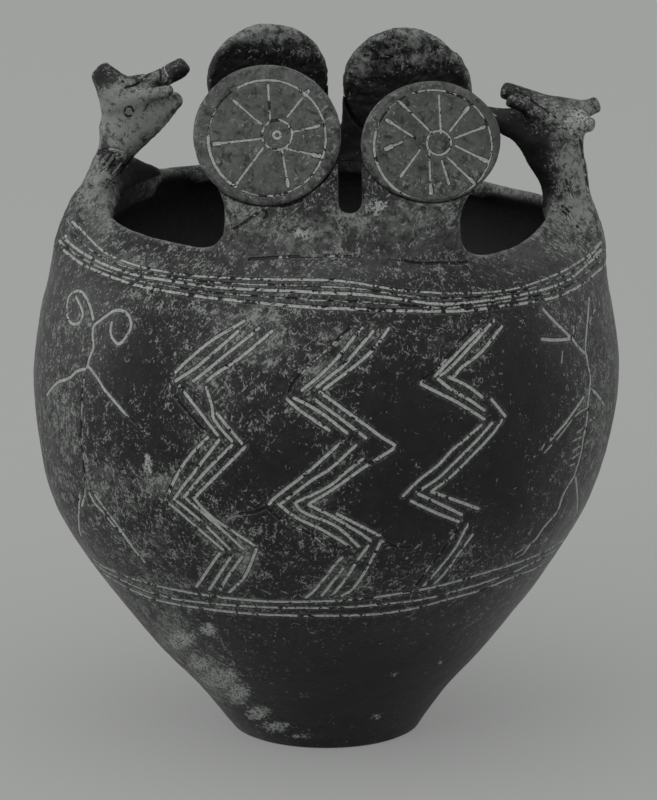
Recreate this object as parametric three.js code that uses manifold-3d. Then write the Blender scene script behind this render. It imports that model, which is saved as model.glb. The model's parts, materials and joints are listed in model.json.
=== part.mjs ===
// Hand-built pottery bowl with horned animal heads and pairs of spoked discs on its rim.
// Millimetres, +Z up, the origin in the middle of the flat underside, the front towards -Y.
import * as THREE from 'three';
import { mergeVertices } from 'three/addons/utils/BufferGeometryUtils.js';
import Module from 'manifold-3d';

const wasm = await Module();
wasm.setup();

// Bowl wall: heights and outer radii down the middle of the front
const BASE_RADIUS = 54;
const BELLY_RADIUS = 169;
const BELLY_HEIGHT = 214;
const RIM_RADIUS = 132;
const RIM_HEIGHT = 310;
const WALL_OUTLINE = [
  [0, BASE_RADIUS],
  [25, BASE_RADIUS + 18],
  [60, BASE_RADIUS + 48],
  [100, BASE_RADIUS + 78],
  [BELLY_HEIGHT - 74, BELLY_RADIUS - 13.5],
  [BELLY_HEIGHT - 34, BELLY_RADIUS - 2.7],
  [BELLY_HEIGHT, BELLY_RADIUS],
  [RIM_HEIGHT - 60, BELLY_RADIUS - 4],
  [RIM_HEIGHT - 36, BELLY_RADIUS - 10.5],
  [RIM_HEIGHT - 20, RIM_RADIUS + 18.5],
  [RIM_HEIGHT - 8, RIM_RADIUS + 8],
  [RIM_HEIGHT, RIM_RADIUS],
];
const WALL = 7;
const RIM_WALL = 6;
const FLOOR = 11;

// Rounding of the foot's outer edge and of the corner between floor and wall
const FOOT_ROUND = 1.5;
const FLOOR_ROUND = 14;
const FLOOR_ROUND_MIDDLE = 6;

// Heights where one course of clay was laid on the one below
const BASE_TOP = 13;
const LOWER_TOP = 78;
const LOWER_BELLY_TOP = 146;
const UPPER_BELLY_TOP = BELLY_HEIGHT;
const SHOULDER_TOP = RIM_HEIGHT - 38;

// Clearance left between two pieces that were pressed together
const GAP = 0.3;

// Discs: radii of the outline, thickness and grooves
const DISC_THICKNESS = 9;
const DISC_EDGE = 2.2;
const GROOVE_WIDTH = 2.4;
const GROOVE_DEPTH = 0.9;
const HUB_RING = 0.21;
const HUB_DOT = 0.075;

// Pedestals that carry the discs: half thickness at the root and above, and how far they reach over the rim
const PEDESTAL_ROOT_HALF = 5.4;
const PEDESTAL_HALF = 4.4;
const PEDESTAL_FOOT = RIM_HEIGHT - 10;
const PEDESTAL_SLIM = RIM_HEIGHT + 20;
const PEDESTAL_TOP = RIM_HEIGHT + 58;
const LEAN = THREE.MathUtils.degToRad(10);

// Bend of a pedestal: round the rim at its root and flatter above
const ROOT_INSET = 3.5;
const ROOT_BEND = RIM_RADIUS - 3;
const TOP_BEND = RIM_RADIUS + 88;
const BEND_START = RIM_HEIGHT - 4;
const BEND_END = RIM_HEIGHT + 35;

// How far the hand-built axis wanders to the side, and how far the rim waves
const AXIS_WANDER = 3;
const WANDER_TOP = 200;
const TOP_WANDER = 1.2;
const TOP_WANDER_END = RIM_HEIGHT - 10;
const RIM_WAVE = 2.5;
const WAVE_START = RIM_HEIGHT - 30;
const WAVE_END = RIM_HEIGHT + 24;

// Faces around the bowl, a neck or head, a horn and a disc, rows along a wall course and in a rounded end
const AROUND = 54;
const LIMB_AROUND = 14;
const HORN_AROUND = 9;
const DISC_AROUND = 30;
const COURSE_ROWS = 3;
const LIP_ROWS = 4;
const CAP_ROWS = 2;

const lerp = THREE.MathUtils.lerp;
const smoothstep = THREE.MathUtils.smoothstep;

const clay = new THREE.MeshStandardMaterial({ color: 0x3a3937, roughness: 0.5, metalness: 0 });
const scuffedClay = new THREE.MeshStandardMaterial({ color: 0x4a4946, roughness: 0.62, metalness: 0 });
const darkClay = new THREE.MeshStandardMaterial({ color: 0x2b2a29, roughness: 0.45, metalness: 0 });

// Outer radius of the wall at a height: a smooth curve through the outline's points
function outerRadius(z) {
  const last = WALL_OUTLINE.length - 1;
  let i = 0;
  while (i < last - 1 && z > WALL_OUTLINE[i + 1][0]) i += 1;
  const [z0, r0] = WALL_OUTLINE[i];
  const [z1, r1] = WALL_OUTLINE[i + 1];
  const [zBefore, rBefore] = WALL_OUTLINE[Math.max(i - 1, 0)];
  const [zAfter, rAfter] = WALL_OUTLINE[Math.min(i + 2, last)];
  const span = z1 - z0;
  const slope0 = (r1 - rBefore) / (z1 - zBefore);
  const slope1 = (rAfter - r0) / (zAfter - z0);
  const t = (z - z0) / span;
  const t2 = t * t;
  const t3 = t2 * t;
  return r0 * (2 * t3 - 3 * t2 + 1) + slope0 * span * (t3 - 2 * t2 + t)
    + r1 * (3 * t2 - 2 * t3) + slope1 * span * (t3 - t2);
}

// Point of the wall's section at a height and a depth under the outer face
function wallPoint(z, depth) {
  const step = 0.05;
  const slope = (outerRadius(z + step) - outerRadius(z - step)) / (2 * step);
  const normal = new THREE.Vector2(1, -slope).normalize();
  return new THREE.Vector2(outerRadius(z), z).addScaledVector(normal, -depth);
}

function wallThickness(z) {
  return lerp(WALL, RIM_WALL, smoothstep(z, UPPER_BELLY_TOP, SHOULDER_TOP));
}

// Stands a lathe geometry, which turns about Y, upright on Z
function turned(profile) {
  return new THREE.LatheGeometry(profile, AROUND).rotateX(Math.PI / 2);
}

// One ring of clay between two heights, its joint faces square to the wall
function course(zLow, zHigh) {
  const steps = COURSE_ROWS;
  const profile = [];
  for (let i = 0; i <= steps; i += 1) {
    profile.push(wallPoint(lerp(zLow, zHigh, i / steps), 0));
  }
  for (let i = steps; i >= 0; i -= 1) {
    const z = lerp(zLow, zHigh, i / steps);
    profile.push(wallPoint(z, wallThickness(z)));
  }
  profile.push(profile[0].clone());
  return turned(profile);
}

// The flat foot of the bowl with the start of its wall
function baseDisc() {
  const joint = wallPoint(BASE_TOP, WALL);
  return turned([
    new THREE.Vector2(0, 0),
    new THREE.Vector2(BASE_RADIUS - FOOT_ROUND, 0),
    wallPoint(FOOT_ROUND, 0),
    wallPoint(BASE_TOP / 2, 0),
    wallPoint(BASE_TOP, 0),
    joint,
    new THREE.Vector2(joint.x - FLOOR_ROUND_MIDDLE, lerp(joint.y, FLOOR, 0.7)),
    new THREE.Vector2(joint.x - FLOOR_ROUND, FLOOR),
    new THREE.Vector2(0, FLOOR),
  ]);
}

// Half-round lip of the rim, from its outer to its inner side
function lip(extra) {
  const outer = wallPoint(RIM_HEIGHT, 0);
  const inner = wallPoint(RIM_HEIGHT, RIM_WALL);
  const middle = outer.clone().lerp(inner, 0.5);
  const start = outer.clone().sub(middle).angle();
  const points = [];
  for (let i = 0; i <= LIP_ROWS; i += 1) {
    const angle = start + Math.PI * i / LIP_ROWS;
    const spoke = new THREE.Vector2(Math.cos(angle), Math.sin(angle));
    points.push(middle.clone().addScaledVector(spoke, RIM_WALL / 2 + extra));
  }
  return points;
}

// Top ring of the bowl, ending in the rounded lip
function rimRing() {
  const steps = 4;
  const profile = [];
  for (let i = 0; i < steps; i += 1) {
    profile.push(wallPoint(lerp(SHOULDER_TOP, RIM_HEIGHT, i / steps), 0));
  }
  profile.push(...lip(0));
  for (let i = steps - 1; i >= 0; i -= 1) {
    profile.push(wallPoint(lerp(SHOULDER_TOP, RIM_HEIGHT, i / steps), RIM_WALL));
  }
  profile.push(profile[0].clone());
  return turned(profile);
}

// Room that the wall and the bowl's hollow take up, with the clearance added
function bowlRoom() {
  const steps = 6;
  const profile = [new THREE.Vector2(0, SHOULDER_TOP)];
  for (let i = 0; i < steps; i += 1) {
    profile.push(wallPoint(lerp(SHOULDER_TOP, RIM_HEIGHT, i / steps), -GAP));
  }
  profile.push(...lip(GAP));
  profile.push(new THREE.Vector2(0, profile.at(-1).y));
  return turned(profile);
}

// Rounded limb through stations of a path, on the left or the right side of the rim
function limb(stations, side, around, roundness, grow = 0) {
  const outward = side === 'left' ? -1 : 1;
  const path = new THREE.CatmullRomCurve3(stations.map(([out, y, above]) => (
    new THREE.Vector3(outward * (RIM_RADIUS + out), y, RIM_HEIGHT + above)
  )));
  const sizes = new THREE.CatmullRomCurve3(stations.map(([, , , w, h]) => new THREE.Vector3(w, h, 0)));
  const bodyRows = (stations.length - 1) * 2;
  const rows = bodyRows + 2 * CAP_ROWS;
  const geometry = new THREE.SphereGeometry(1, around, rows);
  const position = geometry.attributes.position;
  const point = new THREE.Vector3();
  for (let i = 0; i < position.count; i += 1) {
    point.fromBufferAttribute(position, i);
    const row = Math.floor(i / (around + 1));
    const t = THREE.MathUtils.clamp((row - CAP_ROWS) / bodyRows, 0, 1);
    const size = sizes.getPoint(t);
    const along = path.getTangent(t);
    const level = new THREE.Vector3(0, 1, 0).addScaledVector(along, -along.y).normalize();
    const up = new THREE.Vector3().crossVectors(along, level);
    const inCap = Math.max(CAP_ROWS - row, row - CAP_ROWS - bodyRows, 0) / CAP_ROWS * Math.PI / 2;
    const end = row < CAP_ROWS ? -1 : 1;
    const turn = Math.atan2(point.z, point.x);
    const ring = Math.cos(inCap);
    const cap = Math.sin(inCap) * roundness * Math.min(size.x, size.y);
    const reach = end * (cap + Math.sign(inCap) * grow);
    const next = path.getPoint(t)
      .addScaledVector(level, Math.cos(turn) * ring * (size.x + grow))
      .addScaledVector(up, Math.sin(turn) * ring * (size.y + grow))
      .addScaledVector(along, reach);
    position.setXYZ(i, next.x, next.y, next.z);
  }
  return geometry;
}

// Closed solid for cutting and joining, turned right side out
function solidOf(geometry) {
  const bare = geometry.clone();
  bare.deleteAttribute('normal');
  bare.deleteAttribute('uv');
  const merged = mergeVertices(bare, 1e-4);
  const vertProperties = new Float32Array(merged.attributes.position.array);
  const triVerts = new Uint32Array(merged.index.array);
  let solid = new wasm.Manifold(new wasm.Mesh({ numProp: 3, vertProperties, triVerts }));
  if (solid.volume() < 0) {
    for (let i = 0; i < triVerts.length; i += 3) {
      [triVerts[i], triVerts[i + 1]] = [triVerts[i + 1], triVerts[i]];
    }
    solid = new wasm.Manifold(new wasm.Mesh({ numProp: 3, vertProperties, triVerts }));
  }
  return solid;
}

function geometryOf(solid) {
  const mesh = solid.getMesh();
  const geometry = new THREE.BufferGeometry();
  geometry.setAttribute('position', new THREE.BufferAttribute(new Float32Array(mesh.vertProperties), 3));
  geometry.setIndex(new THREE.BufferAttribute(new Uint32Array(mesh.triVerts), 1));
  return geometry;
}

// The wall's axis wanders a little to the side, and the rim rises under the heads and the discs
function handBuilt(geometry) {
  const position = geometry.attributes.position;
  for (let i = 0; i < position.count; i += 1) {
    const x = position.getX(i);
    const y = position.getY(i);
    const z = position.getZ(i);
    const low = -AXIS_WANDER * Math.sin(Math.PI * THREE.MathUtils.clamp(z / WANDER_TOP, 0, 1));
    const high = TOP_WANDER * smoothstep(z, WANDER_TOP, TOP_WANDER_END);
    const nearRim = smoothstep(z, WAVE_START, RIM_HEIGHT) * (1 - smoothstep(z, RIM_HEIGHT, WAVE_END));
    const wave = RIM_WAVE * Math.cos(4 * Math.atan2(y, x)) * nearRim;
    position.setXYZ(i, x + low + high, y, z + wave);
  }
  geometry.computeVertexNormals();
  return geometry;
}

// Placement of a disc: its middle, its half width and half height, and how it is turned
const DISCS = {
  front_left: { x: -33.8, z: RIM_HEIGHT + 64.8, width: 41.1, height: 39.1, side: -1 },
  front_right: { x: 56.8, z: RIM_HEIGHT + 60.2, width: 39.8, height: 33.7, side: -1 },
  back_left: { x: -36.1, z: RIM_HEIGHT + 50.9, width: 36.1, height: 35, side: 1 },
  back_right: { x: 47, z: RIM_HEIGHT + 46.9, width: 38.7, height: 36.8, side: 1 },
};
const SPOKES = {
  front_left: [94, 51, 12, -23, -72, -126, -172, 137],
  front_right: [90, 50, 20, -21, -49, -76, -99, -146, -174, 156, 133],
  back_left: [88, 46, 2, -44, -91, -137, 178, 133],
  back_right: [92, 44, -1, -47, -88, -134, -179, 136],
};
const RIM_GROOVE = 0.83;
const SPOKE_START = 0.3;
const SPOKE_END = 0.72;

// Distance of a pedestal's middle surface from the axis plane, at a height and a place across
function pedestalDepth(x, z) {
  const bend = lerp(ROOT_BEND, TOP_BEND, smoothstep(z, BEND_START, BEND_END));
  const lean = Math.tan(LEAN) * (z - RIM_HEIGHT);
  return RIM_RADIUS - ROOT_INSET - lean + Math.sqrt(bend * bend - x * x) - bend;
}

// Puts a disc made flat on its back into its leaning place on the pedestal
function placeDisc(geometry, { x, z, width, height, side }) {
  const yaw = Math.asin(x / TOP_BEND);
  geometry.scale(width, 1, height);
  geometry.rotateX(side * LEAN);
  geometry.rotateZ(-side * yaw);
  geometry.translate(x, side * pedestalDepth(x, z), z);
  return geometry;
}

// Disc with a rim groove and a hub ring cut in its outer face, and grooves for the spokes
function disc(name) {
  const place = DISCS[name];
  const half = DISC_THICKNESS / 2;
  const groove = GROOVE_WIDTH / 2 / place.width;
  const edge = DISC_EDGE / place.width;
  const low = half - GROOVE_DEPTH;
  const profile = [[0, -half], [1 - edge, -half], [1, -half + DISC_EDGE], [1, half - DISC_EDGE]];
  profile.push([1 - edge, half]);
  for (const radius of [RIM_GROOVE, HUB_RING]) {
    profile.push([radius + groove, half], [radius, low], [radius - groove, half]);
  }
  profile.push([HUB_DOT, half], [0, low]);
  const flat = new THREE.LatheGeometry(profile.map(([r, y]) => new THREE.Vector2(r, y)), DISC_AROUND);
  if (place.side < 0) flat.rotateZ(Math.PI);
  let solid = solidOf(placeDisc(flat, place));
  for (const degrees of SPOKES[name]) {
    const length = SPOKE_END - SPOKE_START;
    const spoke = new THREE.BoxGeometry(length, GROOVE_DEPTH * 2, groove * 2);
    spoke.translate((SPOKE_START + SPOKE_END) / 2, place.side * half, 0);
    spoke.rotateY(THREE.MathUtils.degToRad(-degrees));
    solid = solid.subtract(solidOf(placeDisc(spoke.scale(1, 1, -1), place)));
  }
  return geometryOf(solid);
}

// Room that a disc takes up in the top of its pedestal, as a thick plug of the same outline
function discRoom(place) {
  const plug = new THREE.CylinderGeometry(1, 1, DISC_THICKNESS * 3, DISC_AROUND);
  return solidOf(placeDisc(plug, { ...place, width: place.width + GAP, height: place.height + GAP }));
}

// Outline of a pedestal: its feet, its waists and the notch between its two stalks, as places across and
// heights over the rim
const PEDESTALS = {
  front: {
    side: -1,
    foot: [-76, 92],
    waist: [[-57, 20], [73, 16]],
    notch: { x: 12.2, bottom: 22.3, half: 6.4 },
  },
  back: {
    side: 1,
    foot: [-78, 92],
    waist: [[-59, 17], [74, 12]],
    notch: { x: 4.2, bottom: 20.5, half: 4.4 },
  },
};
const FLARE = 6;
const FLANK_ANGLE = 45;
const SEAT_END_ANGLE = 22;

function onDisc({ x, z, width, height }, degrees) {
  const angle = THREE.MathUtils.degToRad(degrees);
  return new THREE.Vector2(x + width * Math.cos(angle), z + height * Math.sin(angle));
}

// Two stalks that flare out on the rim and rise beside their discs, as a plate cut through the slab
function pedestalOutline({ foot, waist, notch }, left, right) {
  const [[leftWaist, leftRise], [rightWaist, rightRise]] = waist;
  const leftFlank = onDisc(left, 180 + FLANK_ANGLE);
  const rightFlank = onDisc(right, -FLANK_ANGLE);
  const leftSeat = onDisc(left, -SEAT_END_ANGLE);
  const rightSeat = onDisc(right, 180 + SEAT_END_ANGLE);
  const notchMiddle = RIM_HEIGHT + notch.bottom + notch.half;
  const shape = new THREE.Shape();
  shape.moveTo(foot[0], PEDESTAL_FOOT);
  shape.quadraticCurveTo(leftWaist, PEDESTAL_FOOT + FLARE, leftWaist, RIM_HEIGHT + leftRise);
  shape.quadraticCurveTo(leftWaist, lerp(RIM_HEIGHT + leftRise, leftFlank.y, 0.5), leftFlank.x, leftFlank.y);
  shape.lineTo(left.x, left.z);
  shape.lineTo(leftSeat.x, leftSeat.y);
  shape.lineTo(notch.x - notch.half, leftSeat.y);
  shape.lineTo(notch.x - notch.half, notchMiddle);
  shape.absarc(notch.x, notchMiddle, notch.half, Math.PI, 2 * Math.PI, false);
  shape.lineTo(notch.x + notch.half, rightSeat.y);
  shape.lineTo(rightSeat.x, rightSeat.y);
  shape.lineTo(right.x, right.z);
  shape.lineTo(rightFlank.x, rightFlank.y);
  shape.quadraticCurveTo(
    rightWaist, lerp(RIM_HEIGHT + rightRise, rightFlank.y, 0.5),
    rightWaist, RIM_HEIGHT + rightRise,
  );
  shape.quadraticCurveTo(rightWaist, PEDESTAL_FOOT + FLARE, foot[1], PEDESTAL_FOOT);
  shape.closePath();
  const reach = 2 * RIM_RADIUS;
  const plate = new THREE.ExtrudeGeometry(shape, { depth: reach, bevelEnabled: false, curveSegments: 6 });
  return plate.translate(0, 0, -reach / 2).rotateX(Math.PI / 2);
}

// Bent slab that both outlines are cut from
function pedestalSlab({ side, foot }) {
  const geometry = new THREE.BoxGeometry(1, 1, 1, 14, 1, 6);
  const position = geometry.attributes.position;
  for (let i = 0; i < position.count; i += 1) {
    const x = lerp(foot[0], foot[1], position.getX(i) + 0.5);
    const z = lerp(PEDESTAL_FOOT, PEDESTAL_TOP, position.getZ(i) + 0.5);
    const half = lerp(PEDESTAL_ROOT_HALF, PEDESTAL_HALF, smoothstep(z, PEDESTAL_FOOT, PEDESTAL_SLIM));
    position.setXYZ(i, x, side * (pedestalDepth(x, z) + 2 * position.getY(i) * half), z);
  }
  return geometry;
}

// Pedestal that stands on the rim, with a seat cut for each of its two discs
function pedestal(name, discs) {
  const form = PEDESTALS[name];
  const [left, right] = discs.map((key) => DISCS[key]);
  const slab = solidOf(pedestalSlab(form)).subtract(bowl);
  let solid = slab.intersect(solidOf(pedestalOutline(form, left, right)));
  for (const place of [left, right]) solid = solid.subtract(discRoom(place));
  return geometryOf(solid);
}

// Necks, from inside the wall upwards. Every station of a limb is how far it lies outside the rim, how far
// to the back, its height over the rim, its half width along the rim and its half height across the limb
const NECKS = {
  left: [
    [8, 0, -35, 25, 12],
    [8, 0, -22, 24, 15],
    [3.8, 0, -5, 21, 13.7],
    [0.7, 0, 5, 18, 10.8],
    [-1.9, 0, 15, 15.5, 9.3],
    [-7, 0, 26, 13, 9.3],
    [-11.6, 0, 34, 11.5, 11],
    [-14.5, 0, 42, 10.5, 12.5],
  ],
  right: [
    [9, 0, -35, 25, 13],
    [11, 0, -22, 24, 15.5],
    [10, 0, -8, 21, 15.2],
    [8.4, 0, 5, 18, 13.4],
    [4.2, 0, 21, 15, 15.2],
    [-0.5, 0, 32, 13, 17.5],
    [-3.5, 0, 40, 11.5, 17],
  ],
};

// Web of clay on the rim behind the left neck, from the neck to where it runs out, in degrees round the rim
const WEB_START = 4;
const WEB_END = 36;
const WEB_FOOT = RIM_HEIGHT - 8;
const WEB_RISE = 30;
const WEB_FALL = 2.4;
const WEB_HALF = 4.5;

// Heads from the back of the skull to the muzzle
const HEADS = {
  left: [
    [-5.5, 0, 52.4, 7.5, 12.8],
    [-13, 0, 51.2, 9.5, 16.4],
    [-21.5, 0, 51.2, 8.8, 15.4],
    [-30, 0, 53.8, 7.2, 11.8],
    [-38, 0, 58, 5.6, 7.6],
    [-45.5, 0, 62.2, 4.2, 4.6],
  ],
  right: [
    [14, 0, 47, 8, 13],
    [5, 0, 46.5, 9.5, 15.6],
    [-6, 0, 45.5, 9.3, 15.4],
    [-15, 0, 46, 8, 12.8],
    [-23, 0, 48.8, 6.6, 9.6],
    [-31.5, 0, 52.4, 5.6, 7.4],
    [-42.5, 0, 57, 4.2, 4.6],
  ],
};

// Horns and ears with the broken ends that they have now; near is the side of the front discs
const HORNS = {
  left: {
    horn_near: [[-16, -5, 62, 4.6, 4.6], [-26, -8, 68, 3.8, 3.8], [-42, -10, 70.6, 3.2, 3.2]],
    horn_far: [[-11, 4, 64, 6.2, 6.2], [-20, 7, 73, 5.4, 5.4], [-29, 9.5, 75.6, 4.8, 4.8],
      [-37.5, 11, 79, 5.3, 5.3], [-47, 12, 84.4, 5, 5]],
    ear_near: [[-10.5, -3, 63, 6.5, 6.5], [-5.5, -6, 73.5, 5.6, 5.6], [0.5, -8, 80.4, 4.6, 4.6]],
    ear_far: [[-11, 3, 64, 6.5, 6.5], [-7.5, 6, 75.5, 5.6, 5.6], [-4, 8, 82.6, 4.8, 4.8]],
  },
  right: {
    horn_near: [[-2, -5, 51, 4.6, 4.6], [-11, -9, 57.6, 3.8, 3.8], [-28.5, -12, 66.4, 3.3, 3.3]],
    horn_far: [[4, 5, 56, 5.8, 5.8], [-4, 8, 63.4, 4.4, 4.4], [-27, 11, 72.6, 3.4, 3.4]],
    ear_near: [[7, -4, 50.5, 6, 6], [14, -9, 51.5, 5, 5], [21.5, -13, 51, 4.2, 4.2]],
    ear_far: [[6, 4, 54, 6.4, 6.4], [14, 8, 59.6, 5.4, 5.4], [22.6, 10, 62.4, 4.8, 4.8]],
  },
};
const SKULL_ROUND = 0.7;
const HORN_ROUND = 0.4;

// Upright web that follows the rim and sinks towards its end
function neckWeb() {
  const geometry = new THREE.BoxGeometry(1, 1, 1, 6, 1, 2);
  const position = geometry.attributes.position;
  for (let i = 0; i < position.count; i += 1) {
    const share = position.getX(i) + 0.5;
    const angle = Math.PI - THREE.MathUtils.degToRad(lerp(WEB_START, WEB_END, share));
    const top = RIM_HEIGHT + WEB_RISE * (1 - share ** WEB_FALL);
    const z = lerp(WEB_FOOT, top, position.getZ(i) + 0.5);
    const radius = RIM_RADIUS - RIM_WALL / 2 + 2 * WEB_HALF * position.getY(i);
    position.setXYZ(i, radius * Math.cos(angle), radius * Math.sin(angle), z);
  }
  return geometry;
}

// Neck on the rim, with room for its head
function neck(side, headRoom) {
  let solid = solidOf(limb(NECKS[side], side, LIMB_AROUND, 0));
  if (side === 'left') solid = solid.add(solidOf(neckWeb()));
  return geometryOf(solid.subtract(bowl).subtract(headRoom));
}

const bowl = solidOf(bowlRoom());
const vessel = new THREE.Group();

function add(name, geometry, material) {
  const mesh = new THREE.Mesh(handBuilt(geometry), material);
  mesh.name = name;
  vessel.add(mesh);
}

add('base_disc', baseDisc(), darkClay);
add('lower_wall', course(BASE_TOP, LOWER_TOP), darkClay);
add('lower_belly_wall', course(LOWER_TOP, LOWER_BELLY_TOP), clay);
add('upper_belly_wall', course(LOWER_BELLY_TOP, UPPER_BELLY_TOP), clay);
add('shoulder_wall', course(UPPER_BELLY_TOP, SHOULDER_TOP), clay);
add('rim_ring', rimRing(), clay);

for (const name of ['front', 'back']) {
  const discs = [`${name}_left`, `${name}_right`];
  add(`${name}_pedestal`, pedestal(name, discs), scuffedClay);
  for (const key of discs) add(`disc_${key}`, disc(key), scuffedClay);
}

for (const side of ['left', 'right']) {
  const head = solidOf(limb(HEADS[side], side, LIMB_AROUND, SKULL_ROUND));
  const headRoom = solidOf(limb(HEADS[side], side, LIMB_AROUND, SKULL_ROUND, GAP));
  add(`neck_${side}`, neck(side, headRoom), scuffedClay);
  add(`head_${side}`, geometryOf(head), scuffedClay);
  let taken = headRoom;
  for (const [part, path] of Object.entries(HORNS[side])) {
    const horn = solidOf(limb(path, side, HORN_AROUND, HORN_ROUND)).subtract(taken);
    taken = taken.add(solidOf(limb(path, side, HORN_AROUND, HORN_ROUND, GAP)));
    add(`${part}_${side}`, geometryOf(horn), scuffedClay);
  }
}

export default vessel;
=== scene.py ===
"""Looks of a hand-built pottery bowl with horned heads and spoked discs on its rim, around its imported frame.

Sizes are in millimetres until a mesh is made, in the part's own directions: the incised front faces -Y.
"""

import json
import math

import bpy
import numpy as np
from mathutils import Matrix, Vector


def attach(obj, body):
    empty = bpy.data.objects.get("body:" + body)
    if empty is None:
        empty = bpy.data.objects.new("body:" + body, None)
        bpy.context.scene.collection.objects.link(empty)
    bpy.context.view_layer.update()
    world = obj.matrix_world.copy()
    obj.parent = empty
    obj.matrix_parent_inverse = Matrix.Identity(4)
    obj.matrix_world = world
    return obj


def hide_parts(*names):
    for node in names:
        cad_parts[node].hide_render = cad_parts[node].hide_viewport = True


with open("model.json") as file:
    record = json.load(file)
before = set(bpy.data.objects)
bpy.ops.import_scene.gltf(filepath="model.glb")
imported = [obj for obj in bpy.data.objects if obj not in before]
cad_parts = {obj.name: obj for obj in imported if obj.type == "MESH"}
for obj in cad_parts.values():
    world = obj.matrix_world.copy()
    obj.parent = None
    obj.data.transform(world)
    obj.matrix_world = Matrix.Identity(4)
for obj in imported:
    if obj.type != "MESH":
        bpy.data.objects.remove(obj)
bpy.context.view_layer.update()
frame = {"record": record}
METRE = 0.001

# Camera, worked out from the outline and the ellipses of the incised bands
PICTURE = (657, 800)
AIM = np.array([1.45, 0.0, 194.8])
DISTANCE = 3248.0
ELEVATION = math.radians(14.28)
LENS = 252.0
SENSOR_HEIGHT = 36.0
FOCUS = LENS / SENSOR_HEIGHT * PICTURE[1]
BACKWARD = np.array([0, -math.cos(ELEVATION), math.sin(ELEVATION)])
UPWARD = np.array([0, math.sin(ELEVATION), math.cos(ELEVATION)])
RIGHTWARD = np.array([1.0, 0.0, 0.0])
EYE = AIM + BACKWARD * DISTANCE
PIXEL = DISTANCE / FOCUS

# Bowl wall: height and outer radius, as in the part's source
BASE_RADIUS = 54.0
RIM_RADIUS = 132.0
RIM_HEIGHT = 310.0
OUTLINE = np.array([
    [0, BASE_RADIUS], [25, 72], [60, 102], [100, 132], [140, 155.5], [180, 166.3], [214, 169],
    [250, 165], [274, 158.5], [290, 150.5], [302, 140], [RIM_HEIGHT, RIM_RADIUS],
])
WALL = 7.0
RIM_WALL = 6.0
FLOOR = 11.0
COURSES = {
    "base_disc": (1.2, 13.0),
    "lower_wall": (13.0, 78.0),
    "lower_belly_wall": (78.0, 146.0),
    "upper_belly_wall": (146.0, 214.0),
    "shoulder_wall": (214.0, 272.0),
    "rim_ring": (272.0, RIM_HEIGHT),
}
AXIS_WANDER = 3.0
TOP_WANDER = 1.2
WANDER_HEIGHTS = (200.0, 300.0)
RIM_WAVE = 2.5
RIM_WAVE_START = 280.0
RIM_WAVE_END = 334.0
SLOPE_STEP = 0.05
# Where the rim dips or rises besides: middle and reach in degrees, and how much
RIM_SWELLS = ((33, 38, -4.6), (140, 20, 5.2), (-42, 26, -6.2), (-138, 14, 2.4))

# Grid of the wall: outer columns, inner columns and the size of a cell
COLUMNS = 1180
INNER_COLUMNS = 118
CELL = 0.92

# Incised lines: how deep they are cut and how high the white fill stands in them
LINE_DEPTH = 0.8
FILL_LEVEL = 0.5
FILL_FADE = (0.3, 0.7)
CUT_SIDE = (0.35, 1.25)
LINE_REACH = 4.0

# Depths at which a ray from the camera is tried for the front of the wall
RAY_DEPTHS = np.arange(-175, 0, 0.25)

# Unevenness of the clay as layers of noise: height, size of its lumps and seed
HAND_LUMPS = ((0.75, 46, 3), (0.3, 17, 4), (0.12, 6.5, 5))
CLAY_GRAIN = ((0.35, 9, 7), (0.22, 4, 8), (0.12, 2, 9))
DISC_GRAIN = ((0.1, 3, 14), (0.06, 1.6, 15))


def smoothstep(value, low, high):
    t = np.clip((value - low) / (high - low), 0, 1)
    return t * t * (3 - 2 * t)


def mix(a, b, share):
    return a + (b - a) * share


def smooth_min(a, b, reach):
    """Smaller of two distances, rounded where they are nearly the same."""
    near = np.maximum(reach - np.abs(a - b), 0) / reach
    return np.minimum(a, b) - near * near * reach / 4


def smooth_max(a, b, reach):
    return -smooth_min(-a, -b, reach)


def unit(vectors):
    return vectors / np.maximum(np.linalg.norm(vectors, axis=-1, keepdims=True), 1e-9)


def spline(points, steps):
    """Smooth curve through the given points, with a few steps to each stretch."""
    p = np.asarray(points, float)
    p = np.vstack([2 * p[0] - p[1], p, 2 * p[-1] - p[-2]])
    t = (np.arange(steps) / steps)[:, None]
    curve = []
    for a, b, c, d in zip(p, p[1:], p[2:], p[3:]):
        curve.append(0.5 * (2 * b + (c - a) * t + (2 * a - 5 * b + 4 * c - d) * t**2
                            + (3 * b - a - 3 * c + d) * t**3))
    return np.vstack(curve + [p[-2:-1]])


def lattice_value(x, y, z, seed):
    """Repeatable random number from -1 to 1 for each whole-numbered place."""
    n = x.astype(np.uint32) * np.uint32(0x9E3779B1) ^ y.astype(np.uint32) * np.uint32(0x85EBCA77)
    n = n ^ z.astype(np.uint32) * np.uint32(0xC2B2AE3D) ^ np.uint32(seed * 0x27D4EB2F & 0xFFFFFFFF)
    n = (n ^ (n >> np.uint32(15))) * np.uint32(0x2C1B3C6D)
    n = (n ^ (n >> np.uint32(12))) * np.uint32(0x297A2D39)
    n = n ^ (n >> np.uint32(15))
    return n.astype(np.float64) / 0x7FFFFFFF - 1


def noise(points, size, seed):
    """Smooth random field from -1 to 1 whose lumps are about this many millimetres across."""
    scaled = points / size + 1000
    low = np.floor(scaled).astype(np.int64)
    t = scaled - low
    t = t * t * (3 - 2 * t)
    total = np.zeros(points.shape[:-1])
    for corner in range(8):
        step = [corner & 1, corner >> 1 & 1, corner >> 2 & 1]
        weight = 1.0
        for axis in range(3):
            weight = weight * (t[..., axis] if step[axis] else 1 - t[..., axis])
        total += weight * lattice_value(*(low[..., axis] + step[axis] for axis in range(3)), seed)
    return total


def uneven(points, layers):
    """Several layers of noise on top of each other."""
    return sum(height * noise(points, size, seed) for height, size, seed in layers)


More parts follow.
